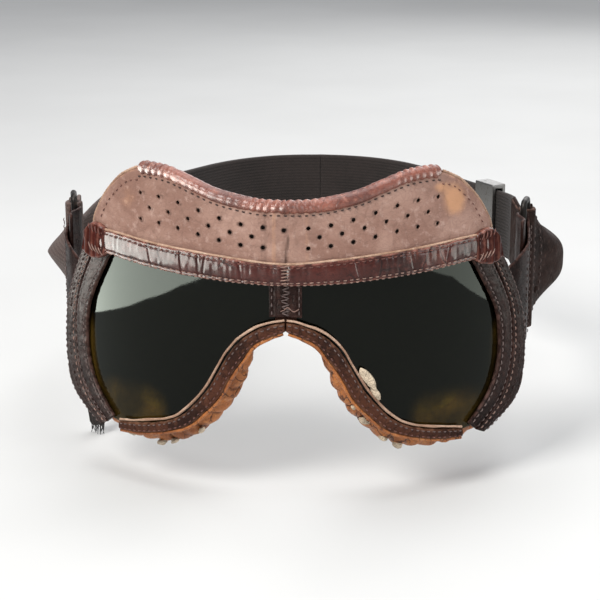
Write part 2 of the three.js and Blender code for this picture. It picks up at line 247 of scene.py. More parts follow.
def outward(obj):
    bm = bmesh.new()
    bm.from_mesh(obj.data)
    bmesh.ops.recalc_face_normals(bm, faces=bm.faces)
    bm.to_mesh(obj.data)
    bm.free()
    return obj


def lattice(name, grid, material=None, flow=None, edge=None, wrap_along=False):
    """A tube of section loops: grid[i, k] is point k of loop i. Open tubes get end caps."""
    rows, cols = grid.shape[:2]
    faces = []
    for i in range(rows if wrap_along else rows - 1):
        j = (i + 1) % rows
        for k in range(cols):
            m = (k + 1) % cols
            faces.append((i * cols + k, j * cols + k, j * cols + m, i * cols + m))
    if not wrap_along:
        faces.append(tuple(range(cols)))
        faces.append(tuple(reversed(range((rows - 1) * cols, rows * cols))))
    flow = None if flow is None else flow.reshape(-1, 3)
    edge = None if edge is None else edge.reshape(-1)
    return outward(mesh_object(name, grid.reshape(-1, 3), faces, material, flow, edge))


def section(width, across):
    """Round-edged flat section. Returns across position in mm, height -1..1 and edge 0..1."""
    width = np.asarray(width, float)[:, None]
    inset = np.minimum(CORNER, width * 0.3)
    flat = inset + (width - 2 * inset) * np.linspace(0, 1, across + 1)[None, :]
    a = np.radians(np.linspace(90, -90, CORNER_STEPS + 2)[1:-1])[None, :]
    right = width - inset + inset * np.cos(a)
    left = inset - inset * np.cos(a)
    x = np.concatenate([flat, right, flat[:, ::-1], left], axis=1)
    one = np.ones_like(flat)
    zero = np.zeros_like(width)
    h = np.concatenate([one, np.sin(a) + zero, -one, -np.sin(a) + zero], axis=1)
    return x, h, np.clip(1 - np.minimum(x, width - x) / EDGE_WIDE, 0, 1)


def face_strip(name, lower, upper, inner, outer, along, across, material, relief=None, wobble=0.0):
    """A strip between two edge curves on the mask, with relief(run, across, share, u, z) on its front."""
    t = np.linspace(0, 1, along + 1)
    a, b = spline(lower, t), spline(upper, t)
    if wobble:
        b = b + wobble * np.stack([0 * t, hash_noise(t * 60, seed=3)], -1)
        a = a + wobble * np.stack([0 * t, hash_noise(t * 60, seed=5)], -1)
    width = np.linalg.norm(b - a, axis=1)
    run = run_along((a + b) / 2)
    run = run - run[-1] / 2
    x, h, edge = section(width, across)
    share = x / width[:, None]
    uz = a[:, None, :] + (b - a)[:, None, :] * share[..., None]
    depth = (inner + outer) / 2 + h * (outer - inner) / 2
    runs = np.repeat(run[:, None], x.shape[1], 1)
    if relief is not None:
        depth = depth + relief(runs, x, share, uz[..., 0], uz[..., 1]) * np.clip(h, 0, 1)
    grid = on_face(uz[..., 0], uz[..., 1], depth)
    return lattice(name, grid, material, np.stack([runs, x, h], -1), edge)


def tube(name, centre, radius, sides, material, closed=False, squash=1.0, up=(0, 0, 1), relief=None):
    """A round cord along row-frame points (mm). relief(run, angle) scales its radius."""
    centre = np.asarray(centre, float)
    n = len(centre)
    radius = np.broadcast_to(np.asarray(radius, float), (n,))
    ahead = np.roll(centre, -1, 0) - np.roll(centre, 1, 0) if closed else np.gradient(centre, axis=0)
    ahead /= np.linalg.norm(ahead, axis=1)[:, None]
    side = np.cross(ahead, np.asarray(up, float))
    side /= np.maximum(1e-9, np.linalg.norm(side, axis=1))[:, None]
    lift = np.cross(side, ahead)
    a = ring(sides)
    r = np.repeat(radius[:, None], sides, 1)
    run = run_along(centre)
    if relief is not None:
        r = r * relief(run[:, None] - run[-1] / 2, a[None, :])
    grid = centre[:, None, :] + (r * np.cos(a))[..., None] * side[:, None, :] \
        + (r * squash * np.sin(a))[..., None] * lift[:, None, :]
    runs = np.repeat(run[:, None], sides, 1)
    flow = np.stack([runs, np.repeat(a[None, :] * radius.mean(), n, 0), 0 * r], -1)
    return lattice(name, grid, material, flow, 0 * r, wrap_along=closed)


STITCH_RINGS, STITCH_SIDES = 6, 6
STITCH_JITTER = 0.12


def stitches(name, centre, normal, material, length=1.9, gap=0.7, radius=0.24, lift=0.1):
    """A row of sewn thread along row-frame points (mm), with the surface normal at each point."""
    centre, normal = np.asarray(centre, float), np.asarray(normal, float)
    run = run_along(centre)
    verts, faces = [], []
    count = max(1, int(run[-1] // (length + gap)))

    def at(values, where):
        return np.array([np.interp(where, run, values[:, k]) for k in range(3)])

    for n in range(count):
        mid = (n + 0.5) * run[-1] / count + rng.uniform(-STITCH_JITTER, STITCH_JITTER) * gap
        p, q = at(centre, mid), at(centre, mid + 0.3)
        if np.allclose(p, q):
            q = p + (centre[-1] - centre[-2])
        up = at(normal, mid)
        ahead = (q - p) / np.linalg.norm(q - p)
        up = up - ahead * up.dot(ahead)
        up /= np.linalg.norm(up)
        side = np.cross(up, ahead)
        turn = rng.uniform(-STITCH_JITTER, STITCH_JITTER) * 0.6
        c, s = math.cos(turn), math.sin(turn)
        ahead, side = ahead * c + side * s, side * c - ahead * s
        size = length * rng.uniform(0.9, 1.08)
        base = len(verts)
        for i in range(STITCH_RINGS + 1):
            f = i / STITCH_RINGS * 2 - 1
            r = radius * math.sqrt(max(0.0, 1 - abs(f) ** 3)) + 0.02
            middle = p + ahead * f * size / 2 + up * (lift + radius * 0.35 - 0.28 * f * f)
            for a in ring(STITCH_SIDES):
                verts.append(middle + side * math.cos(a) * r + up * math.sin(a) * r * 0.8)
        for i in range(STITCH_RINGS):
            here, there = base + i * STITCH_SIDES, base + (i + 1) * STITCH_SIDES
            for k in range(STITCH_SIDES):
                m = (k + 1) % STITCH_SIDES
                faces.append((here + k, there + k, there + m, here + m))
        faces.append(tuple(base + k for k in range(STITCH_SIDES)))
        faces.append(tuple(base + STITCH_RINGS * STITCH_SIDES + k for k in reversed(range(STITCH_SIDES))))
    return outward(mesh_object(name, verts, faces, material))


def row_on_face(points, depth, n=160, t0=0.0, t1=1.0):
    """Points and normals of a sewing line drawn on the mask face."""
    uz = spline(points, np.linspace(t0, t1, n))
    a = uz[:, 0] / FACE_RADIUS
    normal = np.stack([np.sin(a), -np.cos(a), 0 * a], -1)
    return on_face(uz[:, 0], uz[:, 1], depth), normal


def follow(obj, body, *nodes, slot=None, width=4.0):
    """body is one name, or 'fold' for a piece that bends at the centre crease."""
    if body == "fold":
        y, z = ORIGIN_Y * MM, ORIGIN_Z * MM
        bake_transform(obj, LEFT, RIGHT, start=(-width * MM, y, z), end=(width * MM, y, z))
    else:
        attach(obj, body)
    if nodes:
        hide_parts(*nodes)
    return obj


def seam(name, body, points, depth, material, slot, n=220, t0=0.0, t1=1.0, width=4.0, **style):
    """A row of stitches on the mask face that follows a body."""
    line, normal = row_on_face(points, depth, n, t0, t1)
    return follow(stitches(name, line, normal, material, **style), body, slot=slot, width=width)


# ---------------------------------------------------------------- materials
class Value:
    """A node's output, with arithmetic that makes Math nodes."""

    def __init__(self, nodes, socket):
        self.nodes = nodes
        self.socket = socket

    def __add__(self, other):
        return self.nodes.math("ADD", self, other)

    def __sub__(self, other):
        return self.nodes.math("SUBTRACT", self, other)

    def __rsub__(self, other):
        return self.nodes.math("SUBTRACT", other, self)

    def __mul__(self, other):
        return self.nodes.math("MULTIPLY", self, other)


class Nodes:
    """Short-hand for building a node material."""

    def __init__(self, name):
        self.material = bpy.data.materials.new(name)
        self.material.use_nodes = True
        self.tree = self.material.node_tree
        self.tree.nodes.clear()
        self.out = self.tree.nodes.new("ShaderNodeOutputMaterial")

    def put(self, socket, value):
        if isinstance(value, Value):
            self.tree.links.new(value.socket, socket)
        elif socket.type == "RGBA" and len(value) == 3:
            socket.default_value = (*value, 1)
        else:
            socket.default_value = value

    def node(self, kind, out, inputs, **settings):
        """Adds a node, fills its inputs and returns one of its outputs."""
        node = self.tree.nodes.new(kind)
        for key, value in settings.items():
            setattr(node, key, value)
        for key, value in inputs.items():
            self.put(node.inputs[key], value)
        return Value(self, node.outputs[out])

    def finish(self, shader):
        self.put(self.out.inputs["Surface"], shader)
        return self.material

    def attribute(self, name, out="Vector"):
        return self.node("ShaderNodeAttribute", out, {}, attribute_name=name)

    def math(self, kind, a, b=0.0, clamp=False):
        return self.node("ShaderNodeMath", 0, {0: a, 1: b}, operation=kind, use_clamp=clamp)

    def vector(self, kind, a, b):
        return self.node("ShaderNodeVectorMath", 0, {0: a, 1: b}, operation=kind)

    def noise(self, vector, scale, detail=3.0, rough=0.55, distort=0.0, out="Fac"):
        inputs = {"Vector": vector, "Scale": scale, "Detail": detail, "Roughness": rough,
                  "Distortion": distort}
        return self.node("ShaderNodeTexNoise", out, inputs)

    def cells(self, vector, scale, feature="DISTANCE_TO_EDGE"):
        return self.node("ShaderNodeTexVoronoi", "Distance", {"Vector": vector, "Scale": scale},
                         feature=feature)

    def ramp(self, value, low, high, start=0.0, end=1.0, kind="SMOOTHSTEP"):
        inputs = {"Value": value, "From Min": low, "From Max": high, "To Min": start, "To Max": end}
        return self.node("ShaderNodeMapRange", "Result", inputs, interpolation_type=kind)

    def mix(self, share, a, b):
        return self.node("ShaderNodeMix", 2, {"Factor": share, 6: a, 7: b}, data_type="RGBA")

    def warp(self, vector, scale, amount):
        """The vector pushed about by a noise of its own."""
        shift = self.vector("SUBTRACT", self.noise(vector, scale, 2.0, 0.5, out="Color"), (0.5, 0.5, 0.5))
        return self.vector("ADD", vector, self.vector("MULTIPLY", shift, (amount, amount, amount)))

    def bump(self, height, strength, distance):
        return self.node("ShaderNodeBump", 0,
                         {"Strength": strength, "Distance": distance * MM, "Height": height})

    def surface(self, color, roughness, normal=None, specular=0.5, coat=0.0, coat_rough=0.2, coat_ior=1.5,
                sheen=0.0, metallic=0.0):
        inputs = {"Base Color": color, "Roughness": roughness, "Specular IOR Level": specular,
                  "Coat Weight": coat, "Coat Roughness": coat_rough, "Coat IOR": coat_ior,
                  "Sheen Weight": sheen, "Metallic": metallic}
        if normal is not None:
            inputs["Normal"] = normal
        return self.finish(self.node("ShaderNodeBsdfPrincipled", "BSDF", inputs))


def dim(color, share):
    return tuple(c * share for c in color)


def leather(name, dark, mid, light, rough=(0.4, 0.62), grain=0.6, cracks=0.0, crack_scale=0.16,
            crack_tint=None, rub=0.5, rub_and_highlight_tint=None, coat=0.0, blotch=0.05, streak=0.0, specular=0.45,
            dirt=0.55, creases=0.3, bumpy=0.75, coat_rough=0.22, coat_ior=1.5, seed=0.0):
    """Old leather: blotchy dye, pores, fine creases with painted shade along them, open cracks and rubbed
    edges.
    """
    n = Nodes(name)
    place = n.vector("ADD", n.attribute("rest"), (seed, seed * 0.7, seed * 1.3))
    fine = n.noise(place, 0.42, 5.0, 0.65)
    color = n.mix(n.ramp(n.noise(place, blotch, 4.0, 0.6, 0.4), 0.36, 0.62), dark, mid)
    color = n.mix(n.ramp(fine, 0.5, 0.78, 0, 0.75), color, light)
    color = n.mix(n.ramp(n.noise(place, 0.9, 3.0, 0.6, 0.8), 0.30, 0.46, dirt, 0), color, dim(dark, 0.45))
    skin = n.ramp(n.cells(n.warp(place, 0.5, 1.6), 1.9), 0.0, 0.16)
    wrinkle = n.warp(n.vector("MULTIPLY", place, (0.8, 0.8, 1.5)), 0.25, 4.0)
    folds = n.ramp(n.cells(wrinkle, 0.42), 0.0, 0.09)
    # Painted shade: the colour darkens along the crease lines.
    color = n.mix((1.0 - folds) * creases, color, dim(dark, 0.5))
    worn = n.ramp(n.attribute("edge", "Fac"), 0.35, 1.0) * n.ramp(fine, 0.36, 0.64)
    color = n.mix(n.math("MULTIPLY", worn, rub, clamp=True), color, rub_and_highlight_tint or light)
    # The tone attribute lightens towards the rubbed tint and darkens: stains and rubbing on some pieces,
    # painted highlight and painted shade on others.
    tone = n.attribute("tone", "Fac") + (fine - 0.5) * 0.5
    color = n.mix(n.ramp(tone, 0.15, 0.75), color, rub_and_highlight_tint or light)
    color = n.mix(n.ramp(tone, -0.15, -0.8, 0, 0.85), color, dim(dark, 0.35))
    roughness = n.ramp(n.noise(place, 0.25, 3.0), 0.3, 0.7, *rough, "LINEAR")
    height = skin * (0.35 * grain) + folds * (0.5 * grain) + n.noise(place, 2.8, 4.0, 0.7) * (0.35 * grain)
    if streak:
        lines = n.noise(n.vector("MULTIPLY", n.attribute("flow"), (0.16, 1.6, 1.0)), 1.0, 4.0, 0.6)
        color = n.mix(n.ramp(lines, 0.52, 0.66, 0, streak), color, light)
        height = height + lines * (streak * 0.6)
    if cracks:
        split = n.warp(n.vector("MULTIPLY", place, (1.0, 1.0, 0.7)), 0.3, 5.0)
        gate = n.ramp(n.noise(place, 0.09, 3.0), 0.42, 0.56)
        gape = n.ramp(n.cells(split, crack_scale), 0.012, 0.05, 1, 0) * gate
        gape = n.math("MULTIPLY", gape, cracks, clamp=True)
        color = n.mix(gape, color, crack_tint or dim(dark, 0.35))
        height = height - gape * 1.4
        roughness = roughness + gape * 0.25
    return n.surface(color, roughness, n.bump(height, bumpy, 0.22), specular, coat, coat_rough, coat_ior)


def ribbed(name, dark, mid, light, rib, thread_wide, sheen=0.3):
    """Woven strap: ribs run along it and fine picks cross them, from the flow coordinates."""
    n = Nodes(name)
    rest = n.attribute("rest")
    bent = n.warp(n.attribute("flow"), 0.6, 0.22)
    along = n.node("ShaderNodeSeparateXYZ", 0, {0: bent})
    side = n.node("ShaderNodeSeparateXYZ", 1, {0: bent})
    ribs = n.math("SINE", side * (2 * math.pi / rib))
    stagger = n.math("SIGN", ribs) * (math.pi / 2)
    picks = n.math("SINE", along * (2 * math.pi / thread_wide) + stagger)
    weave = ((ribs * 0.5 + 0.5) * 0.6 + 0.4) * ((picks * 0.5 + 0.5) * 0.55 + 0.45)
    color = n.mix(n.ramp(n.noise(rest, 0.06, 4.0, 0.6), 0.35, 0.66), dark, mid)
    # Painted shade in the weave: the raised threads are mixed lighter than the hollows between them.
    color = n.mix(weave * 0.55, color, light)
    fuzz = n.noise(rest, 1.6, 4.0, 0.7)
    color = n.mix(n.ramp(fuzz, 0.34, 0.5, 0.5, 0), color, dim(dark, 0.4))
    rubbed = n.ramp(n.attribute("edge", "Fac"), 0.4, 1.0) * 0.4
    color = n.mix(rubbed * n.ramp(fuzz, 0.4, 0.6), color, light)
    height = weave + n.noise(rest, 5.0, 3.0, 0.7) * 0.4
    roughness = n.ramp(fuzz, 0.2, 0.8, 0.75, 0.95, "LINEAR")
    return n.surface(color, roughness, n.bump(height, 0.8, 0.3), specular=0.2, sheen=sheen)


def thread(name, tone, spread=0.35):
    """Twisted sewing thread."""
    n = Nodes(name)
    rest = n.attribute("rest")
    patches = n.ramp(n.noise(rest, 1.3, 3.0, 0.6), 0.3, 0.7)
    color = n.mix(patches, dim(tone, 1 - spread), dim(tone, 1 + spread))
    twist = n.noise(n.vector("MULTIPLY", rest, (3.0, 3.0, 3.0)), 2.2, 2.0)
    return n.surface(color, 0.7, n.bump(twist, 0.5, 0.12), specular=0.3, sheen=0.2)


def metal(name, tone, rough, tarnish):
    """Old plated steel with tarnish and fine scratches."""
    n = Nodes(name)
    rest = n.attribute("rest")
    scratch = n.noise(n.vector("MULTIPLY", rest, (0.6, 0.6, 9.0)), 1.1, 3.0, 0.7)
    dull = n.ramp(n.noise(rest, 0.55, 5.0, 0.65), 0.52, 0.72, 0, 0.75)
    roughness = n.ramp(scratch, 0.3, 0.7, *rough, "LINEAR") + dull * 0.3
    return n.surface(n.mix(dull, tone, tarnish), roughness, n.bump(scratch, 0.12, 0.05),
                     metallic=1.0 - dull * 0.7)


def tinted_glass(name):
    """Dark green lens plate, amber towards its lower and outer edges, with a dusty film."""
    n = Nodes(name)
    rest = n.attribute("rest")
    cloud = n.ramp(n.noise(rest, 0.045, 3.0, 0.5), 0.36, 0.62, 0.25, 1)
    share = n.ramp(n.attribute("edge", "Fac"), 0.25, 1.0) * cloud
    dust = n.noise(rest, 0.9, 5.0, 0.7)
    scratch = n.noise(n.vector("MULTIPLY", n.attribute("flow"), (0.12, 2.4, 1.0)), 1.0, 4.0, 0.7)
    tint = n.mix(share, (0.026, 0.026, 0.015), (0.24, 0.20, 0.032))
    clear = n.node("ShaderNodeBsdfTransparent", 0, {"Color": tint})
    film = n.node("ShaderNodeBsdfDiffuse", 0,
                  {"Color": n.mix(share, (0.008, 0.008, 0.005), (0.34, 0.20, 0.035))})
    cover = n.ramp(dust, 0.35, 0.8, 0.10, 0.24, "LINEAR")
    body = n.node("ShaderNodeMixShader", 0, {0: cover, 1: clear, 2: film})
    gloss = n.node("ShaderNodeBsdfGlossy", 0, {
        "Roughness": n.ramp(dust, 0.3, 0.8, 0.012, 0.05, "LINEAR"),
        "Color": (0.93, 1.0, 0.93),
        "Normal": n.bump(scratch, 0.03, 0.05)})
    fresnel = n.node("ShaderNodeFresnel", 0, {"IOR": 1.235})
    return n.finish(n.node("ShaderNodeMixShader", 0, {0: fresnel, 1: body, 2: gloss}))


def foam(name, tone):
    """Crumbling foam with deep open cells, darkened in their hollows as painted shade."""
    n = Nodes(name)
    rest = n.attribute("rest")
    cells = n.cells(rest, 1.5, "F1")
    color = n.mix(n.ramp(n.noise(rest, 0.35, 4.0, 0.6), 0.35, 0.7), tone, dim(tone, 0.55))
    # Painted shade in the hollows of the open cells.
    color = n.mix(n.ramp(cells, 0.0, 0.35, 0.6, 0), color, dim(tone, 0.35))
    return n.surface(color, 0.9, n.bump(cells, 1.0, 0.5), specular=0.2)


BROW = leather("brow_leather", (0.245, 0.132, 0.098), (0.36, 0.218, 0.168), (0.48, 0.325, 0.27),
               rough=(0.46, 0.64), grain=0.35, rub=0.45, rub_and_highlight_tint=(0.48, 0.25, 0.135), cracks=0.15,
               crack_scale=0.10, specular=0.3, dirt=0.25, creases=0.16, seed=3)
LINING = leather("lining_leather", (0.36, 0.22, 0.12), (0.50, 0.34, 0.20), (0.60, 0.45, 0.30),
                 rough=(0.6, 0.8), rub=0.3, seed=9)
BINDING = leather("binding_leather", (0.12, 0.034, 0.022), (0.25, 0.082, 0.054), (0.42, 0.18, 0.125),
                  rough=(0.24, 0.42), grain=0.4, rub=0.9, rub_and_highlight_tint=(0.52, 0.24, 0.16), cracks=0.35,
                  crack_scale=0.2, coat=0.4, specular=0.35, seed=17)
OXBLOOD = leather("oxblood_leather", (0.026, 0.005, 0.003), (0.066, 0.013, 0.009), (0.12, 0.034, 0.026),
                  rough=(0.30, 0.50), grain=0.30, rub=0.75, rub_and_highlight_tint=(0.30, 0.12, 0.085), cracks=0.8,
                  crack_scale=0.12, coat=0.62, coat_rough=0.14, coat_ior=1.35, specular=0.12, streak=0.12,
                  bumpy=0.32, seed=23)
DARK = leather("dark_leather", (0.008, 0.0028, 0.0020), (0.020, 0.0078, 0.0060), (0.050, 0.025, 0.020),
               rough=(0.34, 0.52), grain=0.5, rub=0.7, rub_and_highlight_tint=(0.10, 0.052, 0.042), cracks=0.5,
               crack_scale=0.2, coat=0.10, coat_ior=1.3, specular=0.06, streak=0.3, seed=31)
TRIM = leather("trim_leather", (0.022, 0.0065, 0.003), (0.072, 0.023, 0.011), (0.15, 0.058, 0.030),
               rough=(0.45, 0.65), grain=0.5, rub=0.8, rub_and_highlight_tint=(0.17, 0.08, 0.045), cracks=0.5,
               crack_scale=0.22, coat=0.04, specular=0.14, seed=41)
PIPING = leather("piping_leather", (0.30, 0.17, 0.11), (0.47, 0.31, 0.22), (0.62, 0.46, 0.35),
                 rough=(0.5, 0.7), grain=0.4, rub=0.2, blotch=0.09, specular=0.3, seed=47)
CUSHION = leather("cushion_leather", (0.24, 0.068, 0.014), (0.44, 0.145, 0.032), (0.58, 0.26, 0.09),
                  rough=(0.36, 0.58), grain=0.8, rub=0.2, cracks=1.0, crack_scale=0.19,
                  crack_tint=(0.09, 0.028, 0.010), coat=0.2, blotch=0.08, specular=0.35, seed=53)
STRAP_HIDE = leather("strap_leather", (0.012, 0.006, 0.0045), (0.030, 0.016, 0.0125), (0.075, 0.043, 0.035),
                     rough=(0.5, 0.7), grain=0.5, rub=0.8, rub_and_highlight_tint=(0.14, 0.078, 0.058), cracks=0.4,
                     crack_scale=0.12, specular=0.08, seed=61)
BACKING = ribbed("backing_cloth", (0.010, 0.008, 0.007), (0.018, 0.014, 0.012), (0.05, 0.042, 0.036), 0.9,
                 0.9)
WEBBING = ribbed("strap_webbing", (0.032, 0.019, 0.015), (0.062, 0.038, 0.031), (0.16, 0.108, 0.092),
                 1.7, 0.95, sheen=0.1)
ELASTIC = ribbed("strap_elastic", (0.008, 0.0065, 0.006), (0.016, 0.012, 0.011), (0.055, 0.042, 0.037),
                 1.3, 0.8, sheen=0.1)
STEEL = metal("old_steel", (0.23, 0.225, 0.215), (0.24, 0.42), (0.07, 0.055, 0.04))
BLACK_WIRE = metal("blackened_wire", (0.035, 0.032, 0.030), (0.35, 0.55), (0.06, 0.035, 0.02))
LENS = tinted_glass("tinted_lens")
FOAM = foam("old_foam", (0.70, 0.57, 0.42))
DARK_THREAD = thread("dark_thread", (0.030, 0.012, 0.009))
RED_THREAD = thread("red_thread", (0.12, 0.042, 0.030))
PALE_THREAD = thread("pale_thread", (0.23, 0.135, 0.105))
GREY_THREAD = thread("grey_thread", (0.115, 0.078, 0.070))
BLACK_THREAD = thread("black_thread", (0.008, 0.007, 0.008))


# ---------------------------------------------------------------- the mask
# Edge curves of the right half, as arc length and height on the mask
BROW_TOP = [[0.2, 32.4], [10, 32.4], [22, 34.6], [30, 37.4], [39, 40.4], [47, 41.2], [51, 41]]
BROW_UPPER = BROW_TOP[:6] + [[52, 40.8], [59, 37.2], [65.6, 31], [70.4, 24]]
BROW_LOW = [[0.2, 10.6], [10, 11], [21, 11.8], [29, 12.6], [38, 13.6], [45, 14.4], [50, 15], [57, 15.8],
            [64, 16.8], [71.5, 18]]
TRIM_LOW = [[0.2, 7.6], [15, 8], [30, 9], [45, 10.2], [58, 11.6], [68, 12.4]]
TRIM_TOP = [[0.2, 14.4], [15, 15.6], [30, 17], [45, 18.2], [58, 19.4], [70, 19.6]]
LENS_TOP = [[3, 10], [16, 10.2], [28, 11], [40, 12], [52, 13.4], [61, 14.2], [69, 10.6], [75, 0],
            [79.4, -11], [80.4, -18]]
LENS_LOW = [[3, -6.4], [9, -8.2], [16, -15.4], [22, -25.2], [30, -37], [42, -45.2], [56, -48], [68, -46],
            [76, -36], [79.4, -27]]
OPENING_SIDE = [[62.5, 12.6], [68, 4], [75, -8], [77, -20], [76, -29], [72, -37], [64, -45.4]]
INNER_BAND = [[69, 14.6], [74, 7], [81, -6], [83.4, -19], [82.2, -30.5], [77, -40], [67, -48]]
OUTER_BAND_IN = [[69.6, 14.9], [74.4, 7], [81.4, -6], [83.8, -19], [82.6, -30.8], [77.4, -40.4],
                 [67.4, -48.5]]
OUTER_BAND = [[73, 16.8], [80.5, 6], [88, -8], [91, -20], [91, -31.5], [87, -41], [71, -50]]
LOWER_IN = [[0.35, -5.0], [6, -6.4], [12, -9.4], [17.4, -14.8], [21, -20.8], [25.4, -28.6], [30.4, -34.8],
            [35.6, -39.6], [42, -42.8], [51, -44.9], [61, -46.5]]
LOWER_OUT = [[0.25, -8.3], [5, -10.2], [10, -13], [14.2, -18.6], [18, -24.6], [22, -32], [27.4, -38],
             [33, -43], [41, -46.2], [50.6, -48.5], [61, -49.6]]
BROW_END = [[51.5, 41.4], [55, 39.9], [59.4, 37.4], [65.9, 31.2], [70.9, 24], [72.4, 19.4]]
BROW_END_SEAM = [[50, 37.6], [54.5, 36.7], [58, 34.4], [63.6, 29], [67.6, 22.6]]
CORNER_LOW = [[63.2, 11.6], [66.6, 9.8], [70.8, 9.4], [75.0, 11.0]]
CORNER_TOP = [[63.9, 20.2], [67.0, 21.4], [70.2, 21.2], [73.4, 18.4]]
VENT_PITCH = 7.1
VENT_ROWS = [[1, 7, 19], [1.5, 6, 22.2], [1, 7, 25.4]]       # first place, number of vents and height
VENT_RADIUS = 0.68
CREASE_VENT = (-0.5, 25.2)


def sided(points, sign):
    """A right-half curve on either half."""
    return [[sign * p[0], p[1]] for p in points]


def vent_places():
    for row, (first, count, height) in enumerate(VENT_ROWS):
        for n in range(count):
            u = (first + n) * VENT_PITCH
            z = height + u * 0.06 + (3 + row) * float(smooth(u, 10, 44))
            yield u, z
            yield -u, z
    yield CREASE_VENT


def circle(sides=14):
    return np.cos(ring(sides)), np.sin(ring(sides))


def punch(obj, holes):
    """Cuts a hole between each pair of rings. New vertices take the attributes of the nearest old one."""
    kept = {}
    for layer in ("flow", "edge"):
        data = obj.data.attributes[layer].data
        kept[layer] = [tuple(p.vector) if layer == "flow" else p.value for p in data]
    tree = KDTree(len(obj.data.vertices))
    for i, v in enumerate(obj.data.vertices):
        tree.insert(v.co, i)
    tree.balance()
    verts, faces, sides = [], [], len(holes[0][0])
    for rings in holes:
        base = len(verts)
        verts.extend(point for ring in rings for point in ring)
        for k in range(sides):
            m = (k + 1) % sides
            faces.append((base + k, base + m, base + sides + m, base + sides + k))
        faces.append(tuple(base + k for k in reversed(range(sides))))
        faces.append(tuple(base + sides + k for k in range(sides)))
    pins = outward(mesh_object("hole_pins", verts, faces))
    cut = obj.modifiers.new("holes", "BOOLEAN")
    cut.operation, cut.object, cut.solver = "DIFFERENCE", pins, "EXACT"
    applied = evaluated(obj)
    obj.modifiers.clear()
    clear_layers(applied)
    near = [tree.find(v.co)[1] for v in applied.vertices]
    store(applied, "rest", points_of(applied) / MM)
    store(applied, "flow", [kept["flow"][i] for i in near])
    store(applied, "edge", [kept["edge"][i] for i in near])
    obj.data = applied
    bpy.data.objects.remove(pins)
    return obj


def cut_vents(obj, depth):
    ca, sa = circle()
    punch(obj, [[on_face(u + VENT_RADIUS * ca, z + VENT_RADIUS * sa, d) for d in (depth - 2.0, depth + 2.5)]
                for u, z in vent_places()])


def brow_relief(run, x, share, u, z):
    """Soft waves, the centre fold with its two ridges, and puckers under the binding."""
    waves = 0.28 * hash_noise(u / 15, z / 13, seed=1) + 0.09 * hash_noise(u / 4.5, z / 4, seed=2)
    lift = smooth(z, 9, 14) * (1 - smooth(z, 29, 33))
    fold = -0.95 * bell(u, 0.4 + 0.25 * np.sin(z / 3), 0.7) + 0.60 * bell(u, -3.6, 1.4) \
        + 0.50 * bell(u, 6.6, 1.8)
    fold = fold - 0.25 * bell(u, -6.2, 1.3) + 0.12 * bell(u, 3.2, 1.0)
    pucker = 0.16 * np.sin(u * 2 * math.pi / 4.6 + 2 * hash_noise(u / 9, seed=4)) * smooth(share, 0.74, 0.97)
    return waves + fold * lift + pucker * (0.4 + 0.6 * bell(np.abs(u), 46, 9))


BROW_EDGES = mirrored(BROW_LOW), mirrored(BROW_UPPER)
brow = face_strip("brow_leather_panel", *BROW_EDGES, 0.0, 1.2, 220, 34, BROW, brow_relief)
cut_vents(brow, 0.6)
vents = np.array(list(vent_places()))


def brow_tone(u, z):
    """Rubbed peaks, the centre fold darkened as painted shade with its two ridges lighter, and a darkened rim
    round each vent.
    """
    worn = bell(u, 57, 4.2) * bell(z, 32, 5) + 0.5 * bell(u, 51.5, 3) * bell(z, 36.5, 2) \
        + 0.35 * bell(u, -56, 5) * bell(z, 31, 5)
    # Painted shade in the valleys of the centre fold; its two ridges lighter.
    fold = 0.85 * bell(u, 0.4 + 0.25 * np.sin(z / 3), 0.6) * (1 - smooth(z, 21, 27)) \
        + 0.35 * bell(u, -6.4, 1.2) + 0.25 * bell(u, 3.4, 1.2) \
        - 0.42 * bell(u, -3.6, 0.9) - 0.32 * bell(u, 6.8, 1.0)
    gap = np.min(np.hypot(u[:, None] - vents[None, :, 0], z[:, None] - vents[None, :, 1]), axis=1)
    return worn - fold - 0.7 * bell(gap, VENT_RADIUS, 0.35)


shade(brow, brow_tone)
follow(brow, "fold", "brow_panel_l", "brow_panel_r", slot="brow_leather")

lining = face_strip("brow_lining_sheet", *BROW_EDGES, -1.3, -0.3, 120, 12, LINING)
cut_vents(lining, -0.8)
follow(lining, "fold", "brow_lining_l", "brow_lining_r", slot="lining_leather")

# Dark cloth sheet between the two layers, seen through the vents: painted shade inside the vent holes.
vent_shade_sheet_low, vent_shade_sheet_top = mirrored(drop(BROW_LOW, 1)), mirrored(drop(BROW_UPPER, -1.2))
vent_shade_sheet = face_strip("brow_vent_shade_sheet", vent_shade_sheet_low, vent_shade_sheet_top, -0.2, -0.08, 100, 8, BACKING)
follow(vent_shade_sheet, "fold", slot="backing_cloth")


